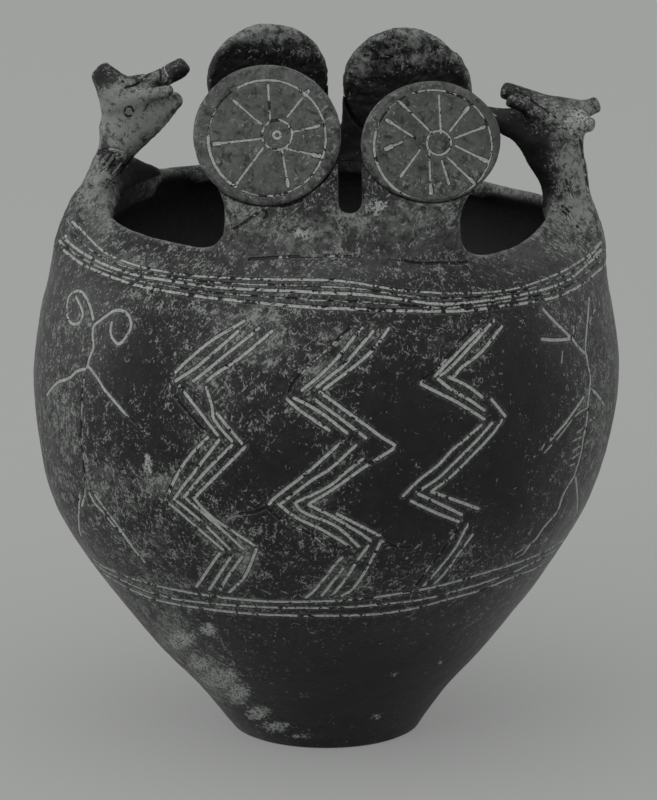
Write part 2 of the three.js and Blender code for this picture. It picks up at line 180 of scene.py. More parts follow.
def outer_radius(z):
    """Outer radius of the bowl at a height: a smooth curve through the outline's points."""
    heights, radii = OUTLINE.T
    places = np.arange(len(heights))
    before = np.maximum(places - 1, 0)
    after = np.minimum(places + 1, len(heights) - 1)
    slopes = (radii[after] - radii[before]) / (heights[after] - heights[before])
    i = np.clip(np.searchsorted(heights, z, side="right") - 1, 0, len(heights) - 2)
    span = heights[i + 1] - heights[i]
    t = (z - heights[i]) / span
    return (radii[i] * (2 * t**3 - 3 * t**2 + 1) + slopes[i] * span * (t**3 - 2 * t**2 + t)
            + radii[i + 1] * (3 * t**2 - 2 * t**3) + slopes[i + 1] * span * (t**3 - t**2))


def wall_section(z, depth):
    """Points of the wall's section at these heights, this deep under the outer face, and the way out."""
    z = np.asarray(z, float)
    slope = (outer_radius(z + SLOPE_STEP) - outer_radius(z - SLOPE_STEP)) / (2 * SLOPE_STEP)
    outward = unit(np.stack([np.ones_like(z), -slope], -1))
    return np.stack([outer_radius(z), z], -1) - outward * np.asarray(depth, float)[..., None], outward


def side_shift(z):
    """How far the hand-built axis wanders to the side at a height."""
    return (-AXIS_WANDER * np.sin(np.pi * np.clip(z / WANDER_HEIGHTS[0], 0, 1))
            + TOP_WANDER * smoothstep(z, *WANDER_HEIGHTS))


def hand_built(points):
    """Final places of points, with the wandering axis and the waves of the rim added."""
    x, y, z = points[..., 0], points[..., 1], points[..., 2]
    near_rim = smoothstep(z, RIM_WAVE_START, RIM_HEIGHT) * (1 - smoothstep(z, RIM_HEIGHT, RIM_WAVE_END))
    turn = np.arctan2(y, x)
    wave = RIM_WAVE * np.cos(4 * turn)
    for middle, reach, rise in RIM_SWELLS:
        away = (np.degrees(turn) - middle + 180) % 360 - 180
        wave = wave + rise * np.exp(-(away / reach) ** 2)
    return np.stack([x + side_shift(z), y, z + wave * near_rim], -1)


def pixel_of(points):
    """Pixel of the photograph at which the camera sees each unwarped place."""
    away = hand_built(points) - EYE
    depth = -(away @ BACKWARD)
    return np.stack([PICTURE[0] / 2 + FOCUS * (away @ RIGHTWARD) / depth,
                     PICTURE[1] / 2 - FOCUS * (away @ UPWARD) / depth], -1)


def rays_through(pixels):
    across = (pixels[:, 0] - PICTURE[0] / 2) / FOCUS
    up = (PICTURE[1] / 2 - pixels[:, 1]) / FOCUS
    return across[:, None] * RIGHTWARD + up[:, None] * UPWARD - BACKWARD


def on_wall(pixels):
    """Places on the unwarped wall seen at these pixels, or on its edge where the camera sees past it."""
    rays = rays_through(pixels)[:, None, :]
    places = EYE + rays * ((RAY_DEPTHS - EYE[1]) / rays[..., 1])[..., None]
    x, y, z = places[..., 0] - side_shift(places[..., 2]), places[..., 1], places[..., 2]
    over = np.hypot(x, y) - outer_radius(np.clip(z, 0, RIM_HEIGHT))
    hit = np.where((over < 0).any(1), (over < 0).argmax(1), over.argmin(1))
    each = np.arange(len(pixels))
    angle = np.arctan2(y[each, hit], x[each, hit])
    height = z[each, hit]
    radius = outer_radius(np.clip(height, 0, RIM_HEIGHT))
    return np.stack([radius * np.cos(angle), radius * np.sin(angle), height], -1)


def pixels(text):
    return np.array([[float(number) for number in pair.split(",")] for pair in text.split()])


def curves(text, steps):
    """Smooth pixel curves of a table of strokes, one stroke to a line."""
    return [spline(pixels(line), steps) for line in text.strip().splitlines()]


# Incised lines of the front, one stroke to a line, as pixels of the photograph
ZIGZAG_LEFT = """
244,321 212,340 190,358 175,372
238,331 212,354 206,359 195,368 175,381
259,328 206,371 193,381
272,331 240,358 217,373 207,381
179,386 204,417 218,435
206,387 212,406 215,420 232,441
217,413 242,443
208,437 188,458 175,479 166,500
219,440 199,466 184,485 174,499
232,445 206,471 184,497
245,447 230,462 205,487 194,498
168,503 177,510 222,550
177,501 204,524 229,550
187,499 212,521 243,550
195,499 214,519 254,546
219,554 196,587
232,555 209,590
242,557 229,575 220,590
256,550 245,576 229,593
"""
ZIGZAG_MIDDLE = """
362,328 354,337 337,358 319,376 302,390
373,331 343,366 335,372 317,387
389,328 375,347 358,363 324,389
287,399 301,411 329,430
294,398 310,406 327,417 347,433
314,399 336,415 366,438
320,392 357,419 367,426 380,436 395,445
340,443 309,471 277,496 269,504
356,445 331,468 311,481 282,503
363,459 344,474 328,487 295,503
393,449 363,468 335,488 309,504
278,504 296,518 320,529 344,543 351,548
295,504 304,513 337,527 359,547
308,505 331,516 358,532 371,541
337,514 380,536
342,558 335,565 316,589 306,598
343,569 322,596
368,546 358,560 344,582 330,598
381,541 367,569 353,589 342,596
"""
ZIGZAG_RIGHT = """
481,329 456,354 435,376
494,320 477,339 449,369 441,375
502,326 481,352 462,367 454,376
421,384 441,394 457,402 484,419
438,379 454,391 468,399 484,410
449,377 466,385 482,397
491,399 505,416
481,425 462,442 452,450 437,466 419,480 403,496
492,423 476,441 450,467 436,480 417,492
502,420 491,436 472,456 452,476 432,491
411,501 436,513 459,522
418,494 446,507 462,515
432,492 446,497 479,509
468,525 456,548 443,565 424,586
473,535 463,549 446,573 435,584
"""
BARE_STROKES = """
351,327 299,376 289,392
484,318 476,325 458,344 441,365 421,381
169,384 173,395 207,433
266,507 287,525 309,534 337,556
458,528 450,541 415,587
84,378 82,395 82,418 82,441 84,459 85,476 84,495
125,414 135,422 147,434
"""
FIGURE_LEFT = """
93,319 90,306 86,297 80,291 74,292 69,297 67,309 68,318 73,324 80,322 83,314 80,305 76,297
93,326 97,322 105,316 112,311 120,310 126,313 130,320 130,328 125,337 120,343 116,343 111,336 110,329 111,322
93,326 92,337 93,347 90,355 87,367
85,369 77,371 69,378 58,382 51,389 47,395
89,367 97,378 104,389 113,400 125,414
79,495 78,511 79,527 81,536
84,497 81,506
89,493 94,503 101,511 111,524 122,535 130,546 137,555 144,563
95,495 105,510 118,528 130,545
"""
FIGURE_RIGHT = """
543,309 551,318 560,327 569,336
572,339 577,346 584,353
542,339 554,340 569,339
589,298 587,324 585,347 587,361 590,377 589,391 588,405 587,422 584,439 581,456 577,469 575,475
583,397 575,409 566,422 558,432 551,440
591,389 598,396 605,406
574,477 568,486 562,497 557,511 546,524 542,529 536,538 530,544 525,551
576,477 577,486 578,500 578,512 576,516
"""
FINE_STROKES = """
574,324 572,338
562,351 561,363
595,309 589,323
545,444 542,450
552,445 545,453
587,408 577,414 568,425 557,440
584,416 580,420
584,428 577,433
583,437 574,441
581,446 574,451
580,453 573,459
576,464 570,466
595,417 590,421
593,430 589,435
590,440 586,446
587,455 583,459
523,549 515,554
524,553 516,558
147,286 147,293
"""
CRACKS = """
250,262 300,262.5 340,262.3 383,260.7 395,260.4 411,260.8 430,259 440,257 455,255.2 466,252
381,541 396,546 410,547
266,507 255,512 240,514
150,285 152,292
"""
BAND_UPPER = {
    "lowest": """
60,241 68,254 84,265 100,272 123,281 145,287 171,291 200,296 258,303 316,308 382,310 460,311
471,310 509,305 543,300 566,293 589,279 604,263
""",
    "middle": """
66,236 73,247 100,262 123,271 149,277 176,280 200,285 250,290 303,293 324,295 382,296 440,304
480,300 520,294 559,284 578,272 601,250
""",
    "top": """
73,222 81,231 106,253 128,262 149,268 176,272 200,275 241,279 288,282 354,284 391,289 450,291
474,290 504,288 527,282 566,267 589,254 601,242
""",
}
BAND_LOWER = {
    "top": """
110,571 143,583 173,590 218,597 267,602 340,601 376,597 416,591 450,584 478,575 511,565 552,548
571,534
""",
    "middle": """
114,577 143,591 179,600 239,606 287,608 340,608 382,604 426,599 490,581 526,566 554,551 568,541
""",
    "bottom": """
121,585 146,598 173,604 223,611 271,615 340,616 373,614 411,609 450,599 485,589 504,580 540,566
564,549
""",
}

# Widths of strokes next to an ordinary one, and how much of the white fill is left in them
FULL_LINE = (1.06, 0.8)
BARE_LINE = (0.66, 0.3)
FIGURE_LINE = (1.1, 0.84)
FINE_LINE = (0.6, 0.7)
CRACK_LINE = (0.72, 0.0)
THIN_BAND_LINE = (0.55, 0.42)
BAND_FILL = 0.58
UPPER_WIDTHS = (0.95, 0.95, 0.8)
LOWER_WIDTHS = (1.05, 0.95, 1.05)
CUT_TABLES = (
    (ZIGZAG_LEFT, FULL_LINE), (ZIGZAG_MIDDLE, FULL_LINE), (ZIGZAG_RIGHT, FULL_LINE),
    (BARE_STROKES, BARE_LINE), (FIGURE_LEFT, FIGURE_LINE), (FIGURE_RIGHT, FIGURE_LINE),
    (FINE_STROKES, FINE_LINE),
)

# How the bands go on behind the bowl: height and number of their waves, and places of a running mean
BACK_WAVE = 0.9
BACK_WAVES = 5
BAND_MEAN = 11


def band_line(text):
    """A band's line through its seen pixels, carried on round the back of the bowl."""
    spots = on_wall(spline(pixels(text), 4))
    angles = np.degrees(np.arctan2(spots[:, 1], spots[:, 0]))
    around = np.arange(-180, 181, 1.0)
    heights = np.interp(around, angles, spots[:, 2], period=360)
    half = BAND_MEAN // 2
    wrapped = np.concatenate([heights[-half - 1:-1], heights, heights[1:half + 1]])
    heights = np.convolve(wrapped, np.ones(BAND_MEAN) / BAND_MEAN, "valid")
    turn = np.radians(around)
    behind = np.clip(np.sin(turn), 0, 1)
    heights = heights + BACK_WAVE * np.sin(BACK_WAVES * turn) * behind
    radius = outer_radius(heights)
    return np.stack([radius * np.cos(turn), radius * np.sin(turn), heights], -1)


def half_turn(points):
    return points * np.array([-1, -1, 1])


def wall_strokes():
    """Every stroke on the wall as places, width and share of fill; zigzags and figures again on the back."""
    strokes = []
    for text, (width, fill) in CUT_TABLES:
        for curve in curves(text, 4):
            places = on_wall(curve)
            strokes.append((places, width, fill))
            strokes.append((half_turn(places), width, fill))
    for curve in curves(CRACKS, 4):
        strokes.append((on_wall(curve), *CRACK_LINE))
    upper = [band_line(text) for text in BAND_UPPER.values()]
    lower = [band_line(text) for text in BAND_LOWER.values()]
    for lines, widths in ((upper, UPPER_WIDTHS), (lower, LOWER_WIDTHS)):
        for places, width in zip(lines, widths):
            strokes.append((places, width, BAND_FILL))
    for one, other in zip(upper, upper[1:]):
        strokes.append(((one + other) / 2, *THIN_BAND_LINE))
    return strokes


def segment_distance(points, start, end):
    along = end - start
    length = max(float(along @ along), 1e-9)
    share = np.clip((points - start) @ along / length, 0, 1)
    return np.linalg.norm(points - start - share[..., None] * along, axis=-1)


def paint_wall(grid, heights, strokes):
    """Distance of each grid point from its nearest line, in widths, and that line's share of fill."""
    line = np.full(grid.shape[:2], LINE_REACH)
    lime = np.zeros(grid.shape[:2])
    step = 2 * np.pi / COLUMNS
    for places, width, fill in strokes:
        for start, end in zip(places, places[1:]):
            low = np.searchsorted(heights, min(start[2], end[2]) - LINE_REACH)
            high = np.searchsorted(heights, max(start[2], end[2]) + LINE_REACH)
            first = math.atan2(start[1], start[0])
            second = first + math.remainder(math.atan2(end[1], end[0]) - first, 2 * math.pi)
            room = LINE_REACH / np.hypot(start[0], start[1])
            left = int((min(first, second) - room) / step) - 1
            right = int((max(first, second) + room) / step) + 2
            spot = np.ix_(np.arange(low, high), np.arange(left, right) % COLUMNS)
            away = segment_distance(grid[spot], start, end) / width
            nearer = away < line[spot]
            line[spot] = np.where(nearer, away, line[spot])
            lime[spot] = np.where(nearer, fill, lime[spot])
    return line, lime


def paint_flat(spots, strokes):
    """The same for points and strokes on a plane."""
    line = np.full(len(spots), LINE_REACH)
    lime = np.zeros(len(spots))
    for places, width, fill in strokes:
        for start, end in zip(places, places[1:]):
            away = segment_distance(spots, start, end) / width
            nearer = away < line
            line[nearer] = away[nearer]
            lime[nearer] = fill
    return line, lime


def cut_depth(line, lime):
    """How far an incised line lowers the surface, less where white fill is left in it."""
    return LINE_DEPTH * (1 - FILL_LEVEL * smoothstep(lime, *FILL_FADE)) * (1 - smoothstep(line, *CUT_SIDE))


# Worn places with painted light, crusted places, sooty places with painted shade, and burnished places: pixel,
# reach across and up in pixels, and amount
# Pale places: worn clay, and painted light on the lit sides of the heads and necks and along the bowl's edges
SCUFFS_AND_LIGHT = [
    (256, 315, 44, 15, 1), (262, 342, 46, 28, 0.62), (335, 336, 32, 13, 0.8), (322, 372, 24, 17, 0.9),
    (330, 500, 44, 22, 0.5), (350, 460, 40, 24, 0.36), (345, 570, 30, 22, 0.5), (205, 440, 26, 24, 0.4),
    (220, 530, 26, 26, 0.5), (470, 350, 30, 24, 0.45), (470, 420, 22, 16, 0.42), (430, 490, 24, 12, 0.4),
    (455, 560, 22, 24, 0.42), (372, 345, 26, 20, 0.5), (205, 380, 40, 40, 0.42), (215, 428, 40, 28, 0.4),
    (150, 300, 60, 17, 0.35), (78, 330, 28, 32, 0.42), (60, 430, 26, 90, 0.5), (108, 488, 48, 36, 0.6),
    (160, 486, 30, 18, 0.7), (150, 545, 50, 30, 0.42), (240, 560, 17, 28, 0.7), (212, 540, 30, 30, 0.5),
    (305, 520, 40, 30, 0.3), (440, 345, 30, 30, 0.36), (475, 400, 22, 17, 0.42), (440, 452, 24, 30, 0.3),
    (560, 322, 40, 25, 0.42), (598, 400, 22, 100, 0.45), (140, 600, 16, 24, 0.9),
    (172, 645, 20, 22, 0.9), (205, 684, 18, 18, 0.8), (340, 596, 90, 15, 0.4), (230, 603, 50, 13, 0.5),
    (158, 590, 36, 20, 0.45), (470, 560, 60, 28, 0.32), (300, 262, 90, 12, 0.35),
    (130, 262, 50, 13, 0.55), (178, 268, 60, 11, 0.45), (430, 270, 60, 11, 0.35),
    (566, 248, 36, 20, 0.5), (165, 636, 26, 30, 1.25), (208, 684, 32, 36, 1.35), (262, 722, 42, 17, 0.5),
    (310, 736, 50, 7, 0.4), (388, 726, 26, 13, 0.5), (300, 232, 34, 14, 0.65), (360, 214, 30, 18, 0.6),
    (424, 214, 50, 20, 0.45), (345, 380, 50, 46, 0.4), (240, 215, 18, 22, 0.5), (130, 112, 44, 30, 1.7),
    (125, 145, 26, 16, 1.3), (104, 195, 22, 44, 1.25), (570, 118, 36, 26, 0.9), (580, 170, 26, 30, 1.1),
    (572, 215, 24, 24, 1.3), (590, 240, 20, 30, 0.6),
]
CRUSTS = [
    (301, 233, 15, 8, 1.1), (318, 200, 14, 14, 0.4), (344, 226, 10, 8, 0.7), (376, 207, 16, 12, 1),
    (430, 206, 30, 12, 0.35), (147, 465, 6, 13, 1.3), (268, 241, 10, 6, 0.55), (578, 124, 20, 20, 1.35),
    (128, 110, 22, 22, 0.3), (557, 208, 9, 10, 0.7), (100, 200, 14, 26, 0.3), (250, 345, 26, 12, 0.35),
    (262, 312, 34, 12, 0.4), (330, 368, 18, 10, 0.4), (440, 184, 36, 12, 0.6), (268, 196, 30, 6, 0.6),
    (398, 322, 18, 8, 0.45), (375, 716, 8, 6, 0.9), (196, 668, 30, 34, 0.6), (160, 630, 20, 20, 0.6),
    (176, 640, 18, 12, 1.35), (203, 630, 12, 9, 1.15), (215, 678, 24, 14, 1.35), (236, 694, 14, 12, 1.4),
    (256, 713, 14, 9, 1.35), (274, 727, 18, 7, 1.2), (300, 736, 20, 4, 0.8), (195, 663, 16, 12, 1.25),
    (205, 650, 10, 8, 0.5), (436, 662, 3, 3, 1), (391, 674, 9, 4, 0.8), (300, 696, 8, 4, 0.7),
]
# Darker places: painted shade on the shaded sides of the heads and necks and on the web, and on the body a
# darkening that is partly soot and partly painted shade
SOOTS_AND_SHADE = [
    (415, 425, 56, 56, 0.9), (405, 500, 52, 40, 1), (275, 465, 36, 26, 0.7), (498, 470, 40, 60, 0.8),
    (530, 385, 34, 60, 0.8), (136, 370, 30, 34, 0.5), (150, 432, 30, 24, 0.35), (370, 690, 140, 70, 0.9),
    (505, 128, 26, 20, 0.9), (524, 150, 20, 24, 1), (541, 190, 10, 24, 0.8), (125, 176, 8, 16, 0.6),
    (137, 154, 10, 6, 0.5), (150, 172, 17, 18, 1.4), (138, 196, 22, 18, 1.3), (101, 78, 8, 9, 0.5),
    (180, 72, 10, 7, 0.5), (155, 83, 16, 4, 0.5),
]
# Painted shade in the dark hollow on the inner side of the left neck
SHADES = [(141, 192, 13, 26, 1.6)]
SMOOTHS = [
    (300, 236, 70, 20, 0.62), (405, 228, 62, 30, 0.62), (240, 236, 22, 24, 0.55),
    (520, 262, 50, 14, 0.6), (360, 268, 130, 9, 0.4), (96, 220, 12, 30, 0.5), (560, 100, 20, 10, 0.4),
]
FRONT_WEAR_AND_LIGHTING = {"scuff_and_light": SCUFFS_AND_LIGHT, "crust": CRUSTS, "soot_and_shade": SOOTS_AND_SHADE, "smooth": SMOOTHS}
# The back: wear and painted light on the discs' tops, crust, and painted shade on the back pedestal and the
# lower parts of the back discs
REAR_WEAR_AND_LIGHTING = {
    "scuff_and_light": [(262, 32, 60, 12, 1.0), (216, 44, 14, 14, 0.8), (308, 50, 20, 16, 0.5), (405, 36, 52, 11, 0.5),
              (360, 60, 14, 30, 0.7), (420, 60, 30, 16, 0.4)],
    "crust": [(262, 30, 55, 8, 0.4), (362, 50, 12, 26, 0.4), (405, 34, 50, 7, 0.4)],
    "soot_and_shade": [(270, 100, 90, 36, 1.0), (230, 70, 40, 24, 0.7), (430, 96, 50, 30, 0.8),
             (360, 130, 60, 50, 1.0), (370, 200, 60, 60, 1.0), (270, 170, 60, 60, 1.0),
             (440, 180, 60, 50, 1.0)],
}

# The painted shade behind the rim ends at its outer side and under its top: distance from the axis, and height
REAR_SHADE_SIDE = (126, 131)
REAR_SHADE_TOP = (318, 330)
# Where the wear, painted light and painted shade of the front blend into those of the back
SIDE_BLEND = (-18, 18)


def patches(spots, table):
    """Amount that one of the tables of wear, painted light and painted shade gives at pixels of the
    photograph.
    """
    total = np.zeros(len(spots))
    for x, y, across, up, amount in table:
        away = ((spots[:, 0] - x) / across) ** 2 + ((spots[:, 1] - y) / up) ** 2
        total = np.maximum(total, amount * np.exp(-away))
    return total


def wear_and_lighting_of(points, place):
    """Scuffs with painted light, crust, soot with painted shade, and burnish as seen; a round wall gets the
    same again half a turn further.
    """
    front = pixel_of(points)
    if place == "rear":
        wear = {key: patches(front, table) for key, table in REAR_WEAR_AND_LIGHTING.items()}
        # Painted shade of the back, kept off the rim's outer side below its top
        outer_side = smoothstep(np.hypot(points[:, 0], points[:, 1]), *REAR_SHADE_SIDE)
        wear["soot_and_shade"] *= 1 - outer_side * (1 - smoothstep(points[:, 2], *REAR_SHADE_TOP))
        return wear
    if place == "front":
        # The front also gets the painted shade of the hollow on the left neck
        return {key: patches(front, table) for key, table in {**FRONT_WEAR_AND_LIGHTING, "inside": SHADES}.items()}
    back = pixel_of(half_turn(points))
    share = smoothstep(points[:, 1], *SIDE_BLEND)
    return {key: mix(patches(front, table), patches(back, table), share)
            for key, table in FRONT_WEAR_AND_LIGHTING.items()}


def make_piece(name, points, faces, normals, paint, nodes):
    """Mesh object that stands for CAD nodes, with its painted values kept as attributes."""
    mesh = bpy.data.meshes.new(name)
    corners = np.concatenate([face.ravel() for face in faces]).astype(np.int32)
    sizes = np.concatenate([np.full(len(face), face.shape[1]) for face in faces])
    mesh.vertices.add(len(points))
    mesh.vertices.foreach_set("co", (points * METRE).astype(np.float32).ravel())
    mesh.loops.add(len(corners))
    mesh.loops.foreach_set("vertex_index", corners)
    mesh.polygons.add(len(sizes))
    mesh.polygons.foreach_set("loop_start", (np.cumsum(sizes) - sizes).astype(np.int32))
    mesh.update(calc_edges=True)
    mesh.validate()
    mesh.polygons.foreach_set("use_smooth", np.ones(len(mesh.polygons), dtype=bool))
    mesh.normals_split_custom_set_from_vertices(normals.astype(np.float32))
    for key, values in paint.items():
        attribute = mesh.attributes.new(key, "FLOAT", "POINT")
        attribute.data.foreach_set("value", np.broadcast_to(values, len(points)).astype(np.float32))
    piece = bpy.data.objects.new(name, mesh)
    bpy.context.collection.objects.link(piece)
    slots = {part["node"]: part["material_slot"] for part in frame["record"]["subparts"]}
    mesh.materials.append(MATERIALS[slots[nodes[0]]])
    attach(piece, "root")
    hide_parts(*nodes)
    return piece


# Limbs of the animals, as in the part's source: how far out from the rim, how far to the back, height over
# the rim, half width along the rim and half height across it
NECKS = {
    "left": [[8, 0, -35, 25, 12], [8, 0, -22, 24, 15], [3.8, 0, -5, 21, 13.7], [0.7, 0, 5, 18, 10.8],
             [-1.9, 0, 15, 15.5, 9.3], [-7, 0, 26, 13, 9.3], [-11.6, 0, 34, 11.5, 10.5],
             [-14.5, 0, 41, 10.5, 11.5]],
    "right": [[9, 0, -35, 25, 13], [11, 0, -22, 24, 15.5], [9, 0, -8, 21, 14.8], [6.6, 0, 5, 18, 12.8],
              [2.2, 0, 21, 15, 14.6], [-2.7, 0, 32, 13, 16], [-5, 0, 39, 11.5, 15.5]],
}
HEADS = {
    "left": [[-10, 0, 53.4, 7.5, 12.8], [-15, 0, 51.6, 9.5, 15.8], [-21.5, 0, 51.2, 8.8, 15.4],
             [-30, 0, 53.8, 7.2, 11.8], [-38, 0, 58, 5.6, 7.6], [-45.5, 0, 62.2, 4.2, 4.6]],
    "right": [[7.5, 0, 46.5, 8, 11.5], [2, 0, 46.8, 9.5, 15], [-6, 0, 45.5, 9.3, 15.4],
              [-15, 0, 46, 8, 12.8], [-23, 0, 47.4, 6.6, 9.6], [-31.5, 0, 50.2, 5.6, 7.4],
              [-42.5, 0, 53.7, 4.2, 4.6]],
}
HORNS = {
    "left": {
        "horn_near": [[-16, -5, 61, 4.8, 4.8], [-22, -5, 64.7, 4.2, 4.2],
                      [-30.4, -8, 67, 3.6, 3.6], [-42, -10, 69.6, 3, 3]],
        "horn_far": [[-11, 4, 63, 6.8, 6.8], [-21.9, 7, 69.6, 5.4, 5.4], [-29.3, 9, 70.7, 5.1, 5.1],
                     [-37.3, 10.5, 73.2, 5.5, 5.5], [-44.8, 11.5, 76.9, 5.6, 5.6], [-49, 12, 80, 4.8, 4.8]],
        "ear_near": [[-10.5, -3, 62, 7, 7], [-5.2, -3, 70.4, 5.4, 5.4], [0.8, -3.5, 78.1, 2.4, 2.6]],
        "ear_far": [[-11, 3, 62, 7, 7], [-8.4, 3, 72, 5.8, 5.8], [-3.8, 3.5, 81.3, 2.6, 2.7]],
    },
    "right": {
        "horn_near": [[0, -5, 50, 4.8, 4.8], [-6.8, -7, 53.6, 4.1, 4.1],
                      [-17, -9, 58.6, 3.9, 3.9], [-28.6, -11, 63.8, 3.8, 3.8]],
        "horn_far": [[4, 5, 52.5, 6.2, 6.2], [-3.6, 6, 56.4, 5.4, 5.4],
                     [-16.1, 9, 61, 5, 5], [-30.9, 10, 65.8, 5.2, 5]],
        "ear_near": [[5, -4, 49.5, 6.2, 6.2], [12, -7, 50.2, 5, 5], [18.3, -11, 49.6, 4, 4]],
        "ear_far": [[4, 4, 51, 6.6, 6.6], [12, 7, 54.2, 5.4, 5.4], [22, 10, 57, 4.7, 4.7]],
    },
}

# How far a limb's round ends reach, next to its half width: a neck's under the wall's swell, and others
NECK_ROUNDNESS = 0.7
BODY_ROUNDNESS = 0.8
TIP_ROUNDNESS = 0.4

# Web of clay behind the left neck: where it starts and ends in degrees, its height, form and thickness
WEB_START = 4.0
WEB_END = 36.0
WEB_RISE = 30.0
WEB_FALL = 2.4
WEB_HALF = 4.5
WEB_STEEP = 0.65
WEB_EDGE = 5.0

# How far forms flow into each other, and the distance from which a limb no longer counts
HEAD_BLEND = 9.0
HORN_BLEND = 8.0
WEB_BLEND = 8.0
NECK_BLEND = 15.0
PEDESTAL_BLEND = 9.0
FAR = 14.0

# Details of the animals as pixels of the photograph: cut strokes, cracks and pits that get painted shade, and
# white marks
ANIMAL_STROKES = {
    "left": """
99,151 106,149 114,149 123,152
98,154 108,152 120,155
100,160 106,152
104,165 111,155
108,170 117,157
112,174 121,163
101,173 108,168 116,165
107,180 113,184 117,185
""",
    "right": """
588,168 590,182 592,196
583,160 586,178 588,192
590,188 595,204
562,206 568,211 573,219
560,210 566,214 570,222
577,226 584,240
566,180 572,198
""",
}
ANIMAL_CRACKS = {
    "left": """
125,88 138,84 150,78 158,71
158,71 160,78 160,84
122,81.5 123.4,81.7
133.4,111.5 132,107.5 128.6,106.8 125.4,109 125,113.4 127.4,116.4 131.4,115.8
""",
    "right": """
550.4,127 551.6,127.6
515,94 530,101 545,110 556,118
590,150 593,166 596,184
580,140 583,158
""",
}
ANIMAL_MARKS = {
    "left": """
162.4,71.5 164.5,75.5 167.6,79.6
128.2,111.2 129.6,112
136,90 139.5,91.5 142,90
""",
    "right": """
492,113 496,116
""",
}
PEDESTAL_CRACKS = """
232,230 244,223 252,217 258,213
263,210 266,212 267,216 264,218
272,206 280,206.5 290,204.5 302,200
"""

# These tables with their widths and shares of fill, and the same of the band's lines across a neck's root
ANIMAL_TABLES = ((ANIMAL_STROKES, 0.6, 0.35), (ANIMAL_CRACKS, 0.5, 0.0), (ANIMAL_MARKS, 0.42, 0.95))
ROOT_LINE = (1.1, 0.82)

# Discs and pedestals, as in the part's source
DISC_HALF = 4.5
DISC_EDGE = 2.6
LEAN = math.radians(10)
ROOT_INSET = 3.5
ROOT_BEND = 129.0
TOP_BEND = 220.0
BEND_START = 306.0
BEND_END = 345.0
PEDESTAL_FOOT = 300.0
PEDESTAL_SLIM = 330.0
PEDESTAL_ROOT_HALF = 5.4
PEDESTAL_HALF = 4.4
PEDESTAL_EDGE = 3.5
SEAT_GAP = 0.3
FLARE = 6.0
FLANK_ANGLE = 45.0
SEAT_END_ANGLES = {"front": 22.0, "back": 4.0}
DISCS = {
    "front_left": {"x": -33.8, "z": 374.8, "width": 41.1, "height": 39.1, "side": -1},
    "front_right": {"x": 56.8, "z": 370.2, "width": 39.8, "height": 33.7, "side": -1},
    "back_left": {"x": -36.1, "z": 360.9, "width": 36.1, "height": 35.0, "side": 1},
    "back_right": {"x": 47.0, "z": 356.9, "width": 38.7, "height": 36.8, "side": 1},
}
PEDESTALS = {
    "front": {"side": -1, "foot": (-76, 92), "waist": ((-57, 20), (73, 16)), "notch": (12.2, 22.3, 6.4)},
    "back": {"side": 1, "foot": (-78, 92), "waist": ((-59, 17), (74, 12)), "notch": (4.2, 20.5, 4.4)},
}

# Chip in the edge of a back disc
CHIP_PLACE = np.array([24.0, 23.0])
CHIP_SIZE = 5.0
CHIP_DEPTH = 3.2

# Spokes of the front discs as pixels
SPOKES = {
    "front_left": """
268,85 270,118
308,91 287,117
319,126 293,132
319,156 287,149
288,186 282,151
235,186 263,148
214,144 259,139
234,101 261,124
""",
    "front_right": """
439,96 441,133
468,108 450,131
484,127 455,138
486,161 456,146
474,183 447,157
449,184 442,161
431,193 429,151
401,176 420,150
386,149 402,142
387,120 415,138
401,103 432,133
""",
}

# Rings of the front discs: middle, half width and half height, and arcs of them with their first and last
# angle, width and share of fill
RINGS = {
    "front_left": {
        (267, 138, 59, 58): [(40, 128, 0.72, 0.8), (128, 178, 0.5, 0.25), (178, 245, 0.95, 0.85),
                             (245, 310, 0.6, 0.55), (310, 400, 0.7, 0.75)],
        (277, 135, 15, 15): [(0, 360, 0.75, 0.6)],
        (277, 135, 3.6, 3.6): [(0, 360, 0.9, 0.95)],
    },
    "front_right": {
        (433, 146, 59, 56): [(20, 118, 0.6, 0.6), (118, 165, 0.5, 0.12), (165, 225, 0.85, 0.8),
                             (225, 320, 0.95, 0.8), (320, 380, 0.6, 0.75)],
        (439, 143, 12, 12): [(0, 360, 0.75, 0.6)],
    },
}
HUBS = {"front_left": (277, 135), "front_right": (439, 143)}
SPOKE_LINE = (0.72, 0.78)
SPOKE_END_FILL = 0.95

# Lines of the back discs: size and width of each ring, their fill, angles of the spokes, and where these
# start and end
BACK_RINGS = ((0.83, 1.0), (0.21, 0.8), (0.05, 0.9))
BACK_RING_FILL = 0.8
BACK_SPOKES = {
    "back_left": (88, 46, 2, -44, -91, -137, 178, 133),
    "back_right": (92, 44, -1, -47, -88, -134, -179, 136),
}
BACK_SPOKE_REACH = (0.3, 0.72)
BACK_SPOKE_LINE = (1.2, 0.85)


def limb_distance(points, places, roundness):
    """Rough signed distance of points from a limb with an oval section through these stations."""
    path = spline(places, 3)
    best = np.full(len(points), FAR)
    for start, end in zip(path, path[1:]):
        length = np.linalg.norm(end[:3] - start[:3])
        along = (end[:3] - start[:3]) / length
        side = unit(np.array([0, 1, 0]) - along * along[1])
        up = np.cross(along, side)
        offset = points - start[:3]
        reached = offset @ along
        share = np.clip(reached / length, 0, 1)
        half_width = mix(start[3], end[3], share)
        half_height = mix(start[4], end[4], share)
        cap = roundness * np.minimum(half_width, half_height)
        parts = (offset @ side, offset @ up, reached - share * length)
        sizes = (half_width, half_height, cap)
        near = np.sqrt(sum((part / size) ** 2 for part, size in zip(parts, sizes)))
        steep = np.sqrt(sum((part / size**2) ** 2 for part, size in zip(parts, sizes)))
        best = np.minimum(best, near * (near - 1) / np.maximum(steep, 1e-6))
    return best


def stations(side, table):
    """Stations of a limb as x, y, height, half width and half height."""
    outward = -1 if side == "left" else 1
    return [[outward * (RIM_RADIUS + out), y, RIM_HEIGHT + above, wide, high]
            for out, y, above, wide, high in table]


